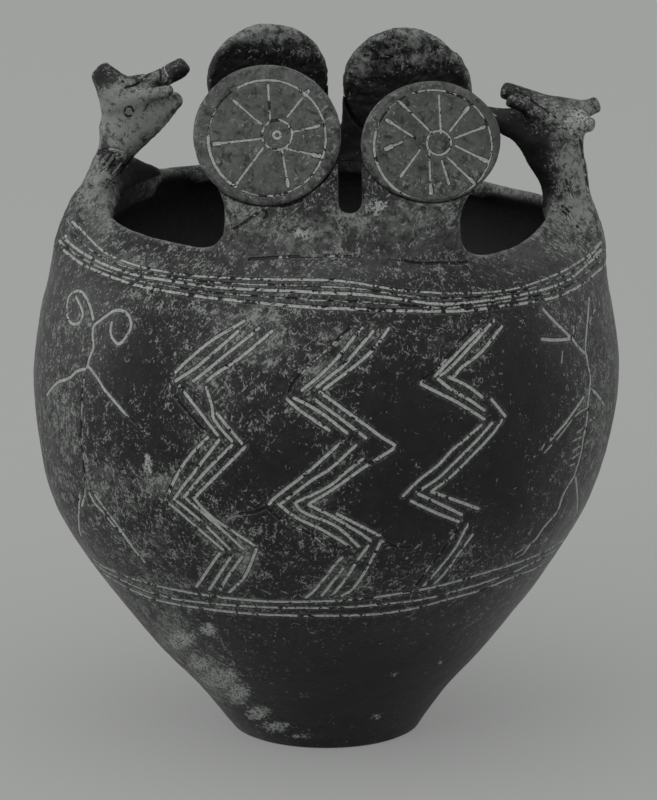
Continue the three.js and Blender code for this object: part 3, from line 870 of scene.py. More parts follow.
def web_distance(points):
    """Rough signed distance from the web of clay on the rim behind the left neck."""
    turn = 180 - np.degrees(np.arctan2(points[:, 1], points[:, 0]))
    share = (turn - WEB_START) / (WEB_END - WEB_START)
    top = RIM_HEIGHT + WEB_RISE * (1 - np.clip(share, 0, 1) ** WEB_FALL)
    ends = (np.abs(share - 0.5) - 0.5) * math.radians(WEB_END - WEB_START) * RIM_RADIUS
    through = np.abs(np.hypot(points[:, 0], points[:, 1]) - RIM_RADIUS + RIM_WALL / 2) - WEB_HALF
    over = smooth_max((points[:, 2] - top) * WEB_STEEP, ends, WEB_EDGE)
    return smooth_max(over, through, WEB_EDGE)


def neck_distance(points, side):
    away = limb_distance(points, stations(side, NECKS[side]), NECK_ROUNDNESS)
    return smooth_min(away, web_distance(points), WEB_BLEND) if side == "left" else away


# Tables of distances: size of a cell, and the corners of the wall's section and of a pedestal's outline
TABLE_CELL = 0.5
SECTION_LOW = (90, 240)
SECTION_HIGH = (190, 345)
SECTION_START = 235
SECTION_STEPS = 60
ROOM_STEEP = 0.75
ROOM_TOP = 4
OUTLINE_LOW = (-100, 286)
OUTLINE_HIGH = (118, 376)


def section_tables():
    """Signed distance from the wall's section and from the room inside its outer face, on a fine grid."""
    heights = np.linspace(SECTION_START, RIM_HEIGHT, SECTION_STEPS)
    middle, _ = wall_section(heights, np.full(SECTION_STEPS, RIM_WALL / 2))
    spots = table_spots(SECTION_LOW, SECTION_HIGH)
    away = np.full(spots.shape[:2], 1e9)
    for start, end in zip(middle, middle[1:]):
        away = np.minimum(away, segment_distance(spots, start, end))
    wall = away - RIM_WALL / 2
    outside = spots[..., 0] - outer_radius(np.minimum(spots[..., 1], RIM_HEIGHT))
    room = np.maximum(outside * ROOM_STEEP, spots[..., 1] - middle[-1, 1] - RIM_WALL / 2)
    low_room = np.where(spots[..., 1] < RIM_HEIGHT + ROOM_TOP, wall, room)
    return {"wall": wall, "room": np.minimum(room, low_room)}


def table_spots(low, high):
    """Places of a table's entries between two corners."""
    axes = [np.arange(first, last, TABLE_CELL) for first, last in zip(low, high)]
    return np.stack(np.meshgrid(*axes, indexing="ij"), -1)


def from_table(table, low, across, up):
    """Value of a table between its entries."""
    across = np.clip((across - low[0]) / TABLE_CELL, 0, table.shape[0] - 1.001)
    up = np.clip((up - low[1]) / TABLE_CELL, 0, table.shape[1] - 1.001)
    i, j = across.astype(int), up.astype(int)
    s, t = across - i, up - j
    return ((1 - s) * (1 - t) * table[i, j] + s * (1 - t) * table[i + 1, j]
            + (1 - s) * t * table[i, j + 1] + s * t * table[i + 1, j + 1])


SECTION = section_tables()


def from_section(points, name):
    """Value of a table of the wall's section at each place around the bowl."""
    return from_table(SECTION[name], SECTION_LOW, np.hypot(points[:, 0], points[:, 1]), points[:, 2])


def pedestal_depth(x, z):
    """Distance of a pedestal's middle surface from the axis plane."""
    bend = mix(ROOT_BEND, TOP_BEND, smoothstep(z, BEND_START, BEND_END))
    lean = math.tan(LEAN) * (z - RIM_HEIGHT)
    return RIM_RADIUS - ROOT_INSET - lean + np.sqrt(np.maximum(bend * bend - x * x, 1)) - bend


def disc_frame(place):
    """Middle of a disc and its directions across, outwards and up."""
    yaw = -place["side"] * math.asin(place["x"] / TOP_BEND)
    tilt = place["side"] * LEAN
    across = np.array([math.cos(yaw), math.sin(yaw), 0])
    through = np.array([-math.sin(yaw) * math.cos(tilt), math.cos(yaw) * math.cos(tilt), math.sin(tilt)])
    up = np.cross(across, through)
    depth = place["side"] * pedestal_depth(np.array(float(place["x"])), np.array(float(place["z"])))
    middle = np.array([place["x"], float(depth), place["z"]])
    return middle, across, through * place["side"], up


def disc_distance(points, place):
    """Distance from the outline of a disc, measured on its own plane."""
    middle, across, _, up = disc_frame(place)
    a, b = (points - middle) @ across, (points - middle) @ up
    near = np.sqrt((a / place["width"]) ** 2 + (b / place["height"]) ** 2)
    steep = np.sqrt((a / place["width"] ** 2) ** 2 + (b / place["height"] ** 2) ** 2)
    return near * (near - 1) / np.maximum(steep, 1e-6)


def on_disc(place, degrees):
    turn = math.radians(degrees)
    return np.array([place["x"] + place["width"] * math.cos(turn),
                     place["z"] + place["height"] * math.sin(turn)])


def bend_through(start, pull, end):
    """Points of a curve from one place to another that is pulled towards a third."""
    t = np.linspace(0, 1, 9)[:-1, None]
    start, pull, end = (np.array(place, float) for place in (start, pull, end))
    return (1 - t) ** 2 * start + 2 * t * (1 - t) * pull + t**2 * end


def pedestal_outline(name):
    """Outline of the two stalks on their common foot, as places across and heights."""
    form = PEDESTALS[name]
    left, right = DISCS[f"{name}_left"], DISCS[f"{name}_right"]
    notch, bottom, half = form["notch"]
    middle = RIM_HEIGHT + bottom + half
    flanks, pulls = [], []
    joined = on_disc(left, 180 + FLANK_ANGLE), on_disc(right, -FLANK_ANGLE)
    for (waist, rise), flank in zip(form["waist"], joined):
        flanks.append([(waist, PEDESTAL_FOOT + FLARE), (waist, RIM_HEIGHT + rise), flank])
        pulls.append((waist, (RIM_HEIGHT + rise + flank[1]) / 2))
    seats = on_disc(left, -SEAT_END_ANGLES[name]), on_disc(right, 180 + SEAT_END_ANGLES[name])
    turns = np.radians(np.arange(180, 361, 20))
    bowl = np.column_stack([notch + half * np.cos(turns), middle + half * np.sin(turns)])
    return np.vstack([
        bend_through((form["foot"][0], PEDESTAL_FOOT), flanks[0][0], flanks[0][1]),
        bend_through(flanks[0][1], pulls[0], flanks[0][2]), [flanks[0][2]],
        [(left["x"], left["z"]), seats[0], (notch - half, seats[0][1])], bowl,
        [(notch + half, seats[1][1]), seats[1], (right["x"], right["z"])],
        bend_through(flanks[1][2], pulls[1], flanks[1][1]),
        bend_through(flanks[1][1], flanks[1][0], (form["foot"][1], PEDESTAL_FOOT)),
        [(form["foot"][1], PEDESTAL_FOOT)],
    ])


def outline_table(name):
    """Signed distance from a pedestal's outline at places across and heights."""
    spots = table_spots(OUTLINE_LOW, OUTLINE_HIGH)
    loop = pedestal_outline(name)
    away = np.full(spots.shape[:2], 1e9)
    inside = np.zeros(spots.shape[:2], dtype=bool)
    for start, end in zip(loop, np.roll(loop, -1, 0)):
        away = np.minimum(away, segment_distance(spots, start, end))
        if start[1] != end[1]:
            share = (spots[..., 1] - start[1]) / (end[1] - start[1])
            passes = (share >= 0) & (share < 1) if end[1] > start[1] else (share > 0) & (share <= 1)
            inside ^= passes & (spots[..., 0] < mix(start[0], end[0], share))
    return np.where(inside, -away, away)


PEDESTAL_TABLES = {name: outline_table(name) for name in PEDESTALS}


def pedestal_distance(points, name):
    """Rough signed distance from a pedestal before the seats of its discs are cut."""
    x, z = points[:, 0], points[:, 2]
    flat = from_table(PEDESTAL_TABLES[name], OUTLINE_LOW, x, z)
    through = np.abs(PEDESTALS[name]["side"] * points[:, 1] - pedestal_depth(x, z)) * math.cos(LEAN)
    half = mix(PEDESTAL_ROOT_HALF, PEDESTAL_HALF, smoothstep(z, PEDESTAL_FOOT, PEDESTAL_SLIM))
    return smooth_max(flat, through - half, PEDESTAL_EDGE)


# What stands on the wall, and how far the wall swells towards it: steps of the search, limit next to the
# reach of the blend, and how far it stays under a joint
SWELL_STEPS = 7
SWELL_LIMIT = 0.6
SWELL_SUNK = 1.5
STANDING = [
    (lambda points: neck_distance(points, "left"), NECK_BLEND),
    (lambda points: neck_distance(points, "right"), NECK_BLEND),
    (lambda points: pedestal_distance(points, "front"), PEDESTAL_BLEND),
    (lambda points: pedestal_distance(points, "back"), PEDESTAL_BLEND),
]


def root_swell(points, outward):
    """How far the wall swells out to flow into what stands on it."""
    swell = np.zeros(len(points))
    for distance_of, reach in STANDING:
        away = distance_of(points)
        near = np.nonzero(away < reach)[0]
        height = np.zeros(len(near))
        for _ in range(SWELL_STEPS):
            place = points[near] + outward[near] * height[:, None]
            other = distance_of(place)
            height = np.clip(height - smooth_min(height, other, reach), 0, reach * SWELL_LIMIT)
        inside = np.clip((height - other) / 2, 0, 1)
        swell[near] = np.maximum(swell[near], height - SWELL_SUNK * inside)
    return swell


def wall_levels():
    """Heights of the rows of the wall's outer face: even steps along it, with a row at every joint."""
    levels = []
    for low, high in COURSES.values():
        samples = np.linspace(low, high, 200)
        arc = np.cumsum(np.hypot(np.diff(outer_radius(samples), prepend=outer_radius(low)),
                                 np.diff(samples, prepend=low)))
        count = math.ceil(arc[-1] / CELL)
        levels.extend(np.interp(np.arange(count) / count * arc[-1], arc, samples))
    return np.array(levels + [RIM_HEIGHT])


# Lip of the rim: steps round it, and how far the fine grid goes on inside; then the height over the base at
# which the wall's unevenness is full, and the height from which it swells out to what stands on the rim
LIP_STEPS = 12
LIP_DEPTH = 13
FOOT_HEIGHT = 10
SWELL_START = 262


def wall_grid():
    """Outer face, lip and upper inner face of the bowl as one fine grid, with its painted lines."""
    levels = wall_levels()
    rows = len(levels)
    outer, outward = wall_section(levels, np.zeros(rows))
    edges, facing = wall_section(np.full(2, RIM_HEIGHT), [0, RIM_WALL])
    start = math.atan2(facing[0, 1], facing[0, 0])
    turns = start + np.pi * np.arange(1, LIP_STEPS) / LIP_STEPS
    lip_way = np.stack([np.cos(turns), np.sin(turns)], -1)
    lip = edges.mean(0) + lip_way * RIM_WALL / 2
    inner_levels = np.arange(RIM_HEIGHT, RIM_HEIGHT - LIP_DEPTH, -1.0)
    inner, inner_out = wall_section(inner_levels, np.full(len(inner_levels), RIM_WALL))
    section = np.vstack([outer, lip, inner])
    facing = np.vstack([outward, lip_way, -inner_out])
    turns = np.arange(COLUMNS) * 2 * np.pi / COLUMNS
    around = np.stack([np.cos(turns), np.sin(turns)], -1)
    grid, way = (np.concatenate([table[:, None, :1] * around, np.repeat(table[:, None, 1:], COLUMNS, 1)], -1)
                 for table in (section, facing))
    line, lime = np.full(grid.shape[:2], LINE_REACH), np.zeros(grid.shape[:2])
    line[:rows], lime[:rows] = paint_wall(grid[:rows], levels, wall_strokes())
    lift = uneven(grid, HAND_LUMPS) * smoothstep(grid[..., 2], 0, FOOT_HEIGHT) - cut_depth(line, lime)
    high = np.nonzero(section[:, 1] > SWELL_START)[0]
    part = grid[high].reshape(-1, 3)
    lift[high] += root_swell(part, way[high].reshape(-1, 3)).reshape(len(high), COLUMNS)
    placed = hand_built(grid + way * lift[..., None])
    along = np.gradient(placed, axis=0)
    sideways = np.roll(placed, -1, 1) - np.roll(placed, 1, 1)
    normals = unit(np.cross(sideways, along))
    return {"levels": levels, "placed": placed, "normals": normals, "line": line, "lime": lime}


def strip(one, other):
    """Faces between two rings of points whose numbers are the same or a multiple of each other."""
    if len(one) == len(other):
        return [np.stack([one, np.roll(one, -1), np.roll(other, -1), other], -1)]
    if len(other) == 1:
        return [np.stack([one, np.roll(one, -1), np.full(len(one), other[0])], -1)]
    if len(one) == 1:
        return [np.stack([np.full(len(other), one[0]), np.roll(other, -1), other], -1)]
    if len(one) > len(other):
        ratio = len(one) // len(other)
        fan = np.stack([one, np.roll(one, -1), np.repeat(other, ratio)], -1)
        ends = np.roll(one[::ratio], -1)
        return [fan, np.stack([ends, np.roll(other, -1), other], -1)]
    ratio = len(other) // len(one)
    fan = np.stack([np.repeat(one, ratio), np.roll(other, -1), other], -1)
    ends = np.roll(other[::ratio], -1)
    return [fan, np.stack([one, np.roll(one, -1), ends], -1)]


def faces_between(chain, flipped=False):
    """Quads and triangles that join each ring of points to the next."""
    groups = {4: [], 3: []}
    for one, other in zip(chain, chain[1:]):
        for faces in strip(one, other):
            groups[faces.shape[1]].append(faces[:, ::-1] if flipped else faces)
    return [np.concatenate(group) for group in groups.values() if group]


def numbered(places):
    """Numbers of the points of each ring, counted through all the rings."""
    ends = np.cumsum([len(ring) for ring in places])
    return np.split(np.arange(ends[-1]), ends[:-1])


def rings(sections, facings, columns, lumps=True):
    """Rings of points round the axis, with their directions out of the clay."""
    turns = np.arange(columns) * 2 * np.pi / columns
    around = np.stack([np.cos(turns), np.sin(turns)], -1)
    places, ways = [], []
    for (radius, level), (out, up) in zip(sections, facings):
        place = np.column_stack([radius * around, np.full(columns, level)])
        way = np.column_stack([out * around, np.full(columns, up)])
        places.append(hand_built(place + way * uneven(place, HAND_LUMPS)[:, None] if lumps else place))
        ways.append(way)
    return places, ways


# Inner side of the wall: heights between which it thins, rows of a course, and how far under the rim its own
# coarse rows start; then the rounded corner and the underside of the base
THIN_HEIGHTS = (214, 272)
INNER_ROWS = 9
RIM_ROWS = 3
RIM_COARSE_DEPTH = 20
CORNER_OFFSETS = (6, 14, 30)
CORNER_RISE = 0.7
CORNER_FACING = (-0.5, 0.86)
UNDERSIDE = ((BASE_RADIUS - 1.5, 0), (20, 0))


def inner_section(name):
    """Rows of a course's inner side from the top down, and their directions out of the clay."""
    low, high = COURSES[name]
    levels = np.linspace(high, low, INNER_ROWS)
    if name == "rim_ring":
        levels = np.linspace(RIM_HEIGHT - RIM_COARSE_DEPTH, low, RIM_ROWS)
    if name == "base_disc":
        levels = levels[:1]
    thickness = mix(WALL, RIM_WALL, smoothstep(levels, *THIN_HEIGHTS))
    sections, outward = wall_section(levels, thickness)
    if name != "base_disc":
        return sections, -outward
    radius, height = sections[0]
    levels = (mix(height, FLOOR, CORNER_RISE), FLOOR, FLOOR)
    corner = [(radius - offset, level) for offset, level in zip(CORNER_OFFSETS, levels)]
    return np.array([(radius, height), *corner]), np.array([-outward[0], CORNER_FACING, (0, 1), (0, 1)])


# Parts of the lip with painted shade as middle and reach in degrees, and how much wear and painted light the
# lip gets
SHADED_LIP = ((88, 13), (164, 17))
LIP_SCUFF_AND_LIGHT = 0.85


def rim_paint(wall, rows):
    """How much painted shade the inner side and two parts of the lip get, and how much of the lip's wear and
    painted light each point gets.
    """
    over = rows - len(wall["levels"])
    lowest = wall["placed"][rows[0]]
    turns = np.degrees(np.arctan2(lowest[:, 1], lowest[:, 0]))
    dark = np.max([np.exp(-((turns - middle) / reach) ** 2) for middle, reach in SHADED_LIP], axis=0)
    inside = np.maximum(smoothstep(over, 10, 15)[:, None], dark * smoothstep(over, 1, 4)[:, None])
    return inside.ravel(), np.repeat(smoothstep(over, -4, 2), COLUMNS)


def make_wall():
    """The bowl's courses, each a closed ring cut from one fine surface."""
    wall = wall_grid()
    for name, joints in COURSES.items():
        first, last = np.searchsorted(wall["levels"], np.array(joints) - 1e-6)
        if name == "rim_ring":
            last = len(wall["placed"]) - 1
        rows = np.arange(first, last + 1)
        inner, inner_normals = rings(*inner_section(name), INNER_COLUMNS)
        places = [*wall["placed"][rows], *inner]
        normals = [*wall["normals"][rows], *inner_normals]
        if name == "base_disc":
            below, below_normals = rings(UNDERSIDE, [(0, -1), (0, -1)], COLUMNS, False)
            places += [np.array([[side_shift(FLOOR), 0, FLOOR]]), *below, np.zeros((1, 3))]
            normals += [np.array([[0, 0, 1.0]]), *below_normals, np.array([[0, 0, -1.0]])]
        loops = numbered(places)
        closed = [*loops[:-4:-1], *loops[:-3]] if name == "base_disc" else loops + loops[:1]
        points = np.vstack(places)
        line, lime, inside = (np.full(len(points), value) for value in (LINE_REACH, 0.0, 1.0))
        outer = slice(0, len(rows) * COLUMNS)
        line[outer] = wall["line"][rows].ravel()
        lime[outer] = wall["lime"][rows].ravel()
        # Painted shade of the inside on the inner side, none on the outer face
        inside[outer] = 0
        paint = {"line": line, "lime": lime, "inside": inside, **wear_and_lighting_of(points, "round")}
        # The rim's deep inner side and two parts of its lip get painted shade, and its lip wear with painted
        # light
        if name == "rim_ring":
            inside[outer], worn_and_lit = rim_paint(wall, rows)
            paint["scuff_and_light"][outer] = np.maximum(paint["scuff_and_light"][outer], LIP_SCUFF_AND_LIGHT * worn_and_lit)
        make_piece(f"{name}_finish", points, faces_between(closed), np.vstack(normals), paint, [name])


def surface_net(field, origin, cell):
    """Closed mesh of quads where a field on a grid changes sign: its points and faces."""
    inside = field < 0
    corner_sum = np.zeros(tuple(np.array(field.shape) - 1), dtype=np.int8)
    offsets = [(a, b, c) for a in (0, 1) for b in (0, 1) for c in (0, 1)]
    for a, b, c in offsets:
        corner_sum += inside[a:a + corner_sum.shape[0], b:b + corner_sum.shape[1], c:c + corner_sum.shape[2]]
    cells = np.argwhere((corner_sum > 0) & (corner_sum < 8))
    index = np.full(corner_sum.shape, -1, dtype=np.int64)
    index[tuple(cells.T)] = np.arange(len(cells))
    values = {offset: field[tuple((cells + offset).T)] for offset in offsets}
    total = np.zeros((len(cells), 3))
    crossings = np.zeros(len(cells))
    for offset in offsets:
        for axis in range(3):
            if offset[axis]:
                continue
            end = tuple(value + (i == axis) for i, value in enumerate(offset))
            a, b = values[offset], values[end]
            crosses = (a < 0) != (b < 0)
            place = np.tile(np.array(offset, float), (len(cells), 1))
            place[:, axis] = np.where(crosses, a / np.where(crosses, a - b, 1), 0)
            total[crosses] += place[crosses]
            crossings += crosses
    points = origin + (cells + total / crossings[:, None]) * cell
    faces = []
    for axis in range(3):
        other, third = (axis + 1) % 3, (axis + 2) % 3
        low = [slice(None)] * 3
        high = [slice(None)] * 3
        low[axis], high[axis] = slice(None, -1), slice(1, None)
        changes = np.argwhere(inside[tuple(low)] != inside[tuple(high)])
        step_other, step_third = np.eye(3, dtype=int)[other], np.eye(3, dtype=int)[third]
        ring = [changes - step_other - step_third, changes - step_third, changes, changes - step_other]
        quad = np.stack([index[tuple(place.T)] for place in ring], -1)
        leaving = inside[tuple(changes.T)]
        faces.append(np.where(leaving[:, None], quad, quad[:, ::-1]))
    return points, np.vstack(faces)


def trilinear(field, spots):
    """Value of a grid field between its points."""
    low = np.clip(np.floor(spots).astype(int), 0, np.array(field.shape[:3]) - 2)
    t = spots - low
    total = 0
    for a in (0, 1):
        for b in (0, 1):
            for c in (0, 1):
                weight = (t[:, 0] if a else 1 - t[:, 0]) * (t[:, 1] if b else 1 - t[:, 1])
                weight = weight * (t[:, 2] if c else 1 - t[:, 2])
                total = total + weight[:, None] * field[low[:, 0] + a, low[:, 1] + b, low[:, 2] + c]
    return total


def grid_of(low, high, cell):
    axes = [np.arange(a, b + cell, cell) for a, b in zip(low, high)]
    return np.stack(np.meshgrid(*axes, indexing="ij"), -1)


def finer(values):
    """Grid values with one more between each two, along every axis."""
    for axis in range(3):
        values = np.moveaxis(values, axis, 0)
        both = np.empty((2 * len(values) - 1, *values.shape[1:]))
        both[::2], both[1::2] = values, (values[1:] + values[:-1]) / 2
        values = np.moveaxis(both, 0, axis)
    return values


def near_values(points, path, roundness):
    """Distances from a limb worked out only near its own box, and far away elsewhere."""
    values = np.full(len(points), FAR)
    spread = np.max([station[3:] for station in path]) + FAR
    low = np.min([station[:3] for station in path], axis=0) - spread
    high = np.max([station[:3] for station in path], axis=0) + spread
    close = ((points > low) & (points < high)).all(1)
    values[close] = limb_distance(points[close], path, roundness)
    return values


def front_side(points):
    """Mirror image of each place on the side that the camera sees."""
    return np.column_stack([points[:, 0], -np.abs(points[:, 1]), points[:, 2]])


def seen_lines(points, strokes, mirrored):
    """Lines drawn as pixels on a standing piece: distance in widths and share of fill."""
    places = front_side(points) if mirrored else points
    flat = pixel_of(places) * PIXEL
    line, lime = paint_flat(flat, strokes)
    if not mirrored:
        line = np.where(points[:, 1] < 0, line, LINE_REACH)
    return line, lime


def ring_pixels(x, y, across, up, first, last):
    turns = np.radians(np.arange(first, last + 1, 10))
    return np.column_stack([x + across * np.cos(turns), y - up * np.sin(turns)])


# Cutting a flowing surface into pieces: how near to it the grooves are cut, how far a piece draws back at a
# joint and reaches past it, and how far it reaches into the wall
GROOVE_REACH = 4
JOINT_STEP = 1.2
JOINT_REACH = 1.5
WALL_REACH = 1.5


def cut_pieces(place, grid, cell, parts, base, strokes, mirrored, roughness):
    """Closed pieces of one flowing surface: each part keeps the ground nearest to its own limb."""
    shape = grid.shape[:3]
    points = grid.reshape(-1, 3)
    flowing = base.copy()
    close = np.nonzero(np.abs(base) < GROOVE_REACH)[0]
    spots = points[close]
    line, lime = seen_lines(spots, strokes, mirrored)
    flowing[close] += roughness * uneven(spots, CLAY_GRAIN) + cut_depth(line, lime)
    slopes = np.stack(np.gradient(flowing.reshape(shape)), -1)
    origin = points[0]
    for key, (own, others, bound) in parts.items():
        rivals = own - others
        field = flowing + JOINT_STEP * np.clip(rivals / JOINT_REACH, 0, 1)
        field = np.maximum(field, np.maximum(rivals - JOINT_REACH, bound)).reshape(shape)
        filled = np.argwhere(field < 0)
        low, high = np.maximum(filled.min(0) - 2, 0), filled.max(0) + 3
        field = field[tuple(slice(a, b) for a, b in zip(low, high))]
        places, faces = surface_net(field, origin + low * cell, cell)
        normals = unit(trilinear(slopes, (places - origin) / cell))
        line, lime = seen_lines(places, strokes, mirrored)
        paint = {"line": line, "lime": lime, "inside": 0.0, **wear_and_lighting_of(places, place)}
        make_piece(f"{key}_finish", hand_built(places), [faces], normals, paint, [key])


# Cells of the grids, their corners round the animals and pedestals, and the pedestals' roughness
ANIMAL_CELL = 0.75
ANIMAL_BOXES = {
    "left": ((-176, -36, 268), (-76, 88, 403)),
    "right": ((76, -36, 268), (176, 36, 403)),
}
PEDESTAL_CELL = 0.85
PEDESTAL_BOXES = {
    "front": ((-86, -150, 286), (102, -92, 368)),
    "back": ((-86, 92, 286), (102, 150, 368)),
}
PEDESTAL_ROUGHNESS = 1.1


def make_animal(side):
    """Neck, head, horns and ears of one animal."""
    coarse = grid_of(*ANIMAL_BOXES[side], 2 * ANIMAL_CELL)
    points = coarse.reshape(-1, 3)
    grid = np.stack([finer(coarse[..., axis]) for axis in range(3)], -1)
    body = {f"neck_{side}": NECKS[side], f"head_{side}": HEADS[side]}
    tips = {f"{part}_{side}": path for part, path in HORNS[side].items()}
    raw = {}
    for key, table in {**body, **tips}.items():
        roundness = TIP_ROUNDNESS if key in tips else BODY_ROUNDNESS
        raw[key] = near_values(points, stations(side, table), roundness)
    if side == "left":
        raw["neck_left"] = smooth_min(raw["neck_left"], web_distance(points), WEB_BLEND)
    limbs = list(raw)
    raw["wall"], raw["room"] = from_section(points, "wall"), from_section(points, "room")
    raw = {key: finer(values.reshape(coarse.shape[:3])).ravel() for key, values in raw.items()}
    base = smooth_min(raw[f"neck_{side}"], raw[f"head_{side}"], HEAD_BLEND)
    for key in tips:
        base = smooth_min(base, raw[key], HORN_BLEND)
    base = smooth_min(base, raw["wall"], NECK_BLEND)
    bound = -raw["room"] - WALL_REACH
    parts = {}
    for key in limbs:
        others = np.min([raw[other] for other in limbs if other != key] + [raw["wall"]], axis=0)
        parts[key] = (raw[key], others, bound)
    strokes = []
    for table, width, fill in ANIMAL_TABLES:
        strokes += [(curve * PIXEL, width, fill) for curve in curves(table[side], 3)]
    strokes += [(spline(pixels(text), 3) * PIXEL, *ROOT_LINE) for text in BAND_UPPER.values()]
    cut_pieces("front", grid, ANIMAL_CELL, parts, base, strokes, True, 1.0)


def make_pedestal(name):
    """Curved slab that grows out of the rim and holds two discs in its seats."""
    place = "front" if name == "front" else "rear"
    grid = grid_of(*PEDESTAL_BOXES[name], PEDESTAL_CELL)
    points = grid.reshape(-1, 3)
    raw = pedestal_distance(points, name)
    wall = from_section(points, "wall")
    base = smooth_min(raw, wall, PEDESTAL_BLEND)
    seats = np.minimum(*(disc_distance(points, DISCS[f"{name}_{half}"]) for half in ("left", "right")))
    base = np.maximum(base, SEAT_GAP - seats)
    strokes = []
    if name == "front":
        strokes = [(curve * PIXEL, *CRACK_LINE) for curve in curves(PEDESTAL_CRACKS, 3)]
    parts = {f"{name}_pedestal": (raw, wall, -from_section(points, "room") - WALL_REACH)}
    cut_pieces(place, grid, PEDESTAL_CELL, parts, base, strokes, False, PEDESTAL_ROUGHNESS)


def to_disc_plane(spots, place):
    """Pixels carried onto the outer face of a disc, measured from its middle across and up."""
    middle, across, outward, up = disc_frame(place)
    middle = hand_built(middle) + outward * DISC_HALF
    rays = rays_through(spots)
    reach = ((middle - EYE) @ outward) / (rays @ outward)
    places = EYE + rays * reach[:, None] - middle
    return np.column_stack([places @ across, places @ up])


def front_disc_strokes(name):
    """Rings and spokes of a front disc as seen, with a wider cut at the outer end of each spoke."""
    place = DISCS[name]
    strokes = []
    for ring, arcs in RINGS[name].items():
        for first, last, width, fill in arcs:
            strokes.append((to_disc_plane(ring_pixels(*ring, first, last), place), width, fill))
    hub = to_disc_plane(np.array([HUBS[name]], float), place)[0]
    for number, curve in enumerate(curves(SPOKES[name], 3)):
        spoke = to_disc_plane(curve, place)
        if np.linalg.norm(spoke[0] - hub) < np.linalg.norm(spoke[-1] - hub):
            spoke = spoke[::-1]
        inward = unit(spoke[-1] - spoke[0])
        thick = 0.9 + 0.5 * (number * 0.62 % 1)
        strokes.append((spoke, *SPOKE_LINE))
        strokes.append((np.array([spoke[0], spoke[0] + 2.5 * thick * inward]), thick, SPOKE_END_FILL))
    return strokes


def back_disc_strokes(name):
    """Rings and spokes of a back disc, of which the photograph shows little."""
    width, height = DISCS[name]["width"], DISCS[name]["height"]
    turns = np.radians(np.arange(0, 361, 10))
    ring = np.column_stack([width * np.cos(turns), height * np.sin(turns)])
    strokes = [(ring * share, thick, BACK_RING_FILL) for share, thick in BACK_RINGS]
    for degrees in BACK_SPOKES[name]:
        turn = math.radians(degrees)
        way = np.array([width * math.cos(turn), height * math.sin(turn)])
        strokes.append((np.array([way * share for share in BACK_SPOKE_REACH]), *BACK_SPOKE_LINE))
    return strokes


# Discs as rings of points: size of a cell, points round them and steps round their edge; then how much
# rougher the back discs are, and once more on their inner side
DISC_CELL = 0.9
DISC_COLUMNS = 288
DISC_EDGE_STEPS = 13
BACK_ROUGHNESS = 2.2
INNER_ROUGHNESS = 2.0


def disc_rings(place):
    """Places on a disc, heights over its middle and how far they face outwards, from front to back."""
    face = np.arange(DISC_CELL, place["width"] - DISC_EDGE, DISC_CELL) / place["width"]
    turns = np.linspace(0, np.pi, DISC_EDGE_STEPS)
    bulge = 1 - DISC_EDGE / place["width"] * (1 - np.sin(turns))
    profile = [(share, DISC_HALF, 1.0) for share in (0, *face)]
    profile += [(share, DISC_HALF * math.cos(turn), math.cos(turn)) for share, turn in zip(bulge, turns)]
    profile += [(share, -DISC_HALF, -1.0) for share in (*face[::-1], 0)]
    around = np.arange(DISC_COLUMNS) * 2 * np.pi / DISC_COLUMNS
    oval = np.column_stack([place["width"] * np.cos(around), place["height"] * np.sin(around)])
    flat = [oval * share if share else np.zeros((1, 2)) for share, _, _ in profile]
    level, facing = (np.concatenate([np.full(len(ring), row[i]) for ring, row in zip(flat, profile)])
                     for i in (1, 2))
    return flat, level, facing


def make_disc(name):
    """Slightly oval disc with a worn round edge and grooves in its outer face."""
    place = DISCS[name]
    front = place["side"] < 0
    middle, across, outward, up = disc_frame(place)
    flat, level, facing = disc_rings(place)
    loops = numbered(flat)
    flat = np.vstack(flat)
    edge_way = unit(flat + 1e-9)
    rim_way = edge_way * np.sqrt(1 - facing**2)[:, None]
    way = rim_way[:, :1] * across + rim_way[:, 1:] * up + facing[:, None] * outward
    places = middle + flat[:, :1] * across + flat[:, 1:] * up + level[:, None] * outward
    line, lime = paint_flat(flat, front_disc_strokes(name) if front else back_disc_strokes(name))
    line = np.where(facing > 0.9, line, LINE_REACH)
    rough = 1.0 if front else BACK_ROUGHNESS
    inner = 1.0 if front else np.where(facing < -0.2, INNER_ROUGHNESS, 1.0)
    lift = 0.45 * noise(places, 21, 12) + rough * 0.16 * noise(places, 6, 13)
    lift += rough * inner * uneven(places, DISC_GRAIN)
    lift -= cut_depth(line, lime)
    places = places + way * lift[:, None]
    if name == "back_right":
        chip = np.exp(-(np.linalg.norm(flat - CHIP_PLACE, axis=1) / CHIP_SIZE) ** 2)
        places -= (edge_way[:, :1] * across + edge_way[:, 1:] * up) * (CHIP_DEPTH * chip)[:, None]
    placed = hand_built(places)
    faces = faces_between(loops, not front)
    crest = smoothstep(np.linalg.norm(flat, axis=1), 0.8 * place["width"], place["width"])
    paint = {"line": line, "lime": lime, "inside": 0.0, **wear_and_lighting_of(places, "front" if front else "rear")}
    paint["scuff_and_light"] = np.maximum(paint["scuff_and_light"], 0.2 + 0.15 * crest)
    if front:
        paint["smooth"] = smoothstep(facing, -0.5, 0.5) * (1 - 0.4 * crest) * (1 - 0.8 * paint["crust"])
    normals = mesh_normals(placed, faces)
    make_piece(f"disc_{name}_finish", placed, faces, normals, paint, [f"disc_{name}"])


def mesh_normals(points, faces):
    """Smooth directions outwards at the points of a mesh."""
    total = np.zeros_like(points)
    for group in faces:
        corners = [points[corner] for corner in group.T]
        way = np.cross(corners[1] - corners[0], corners[2] - corners[0])
        if len(corners) == 4:
            way = np.cross(corners[2] - corners[0], corners[3] - corners[1])
        for corner in group.T:
            np.add.at(total, corner, way)
    return unit(total)


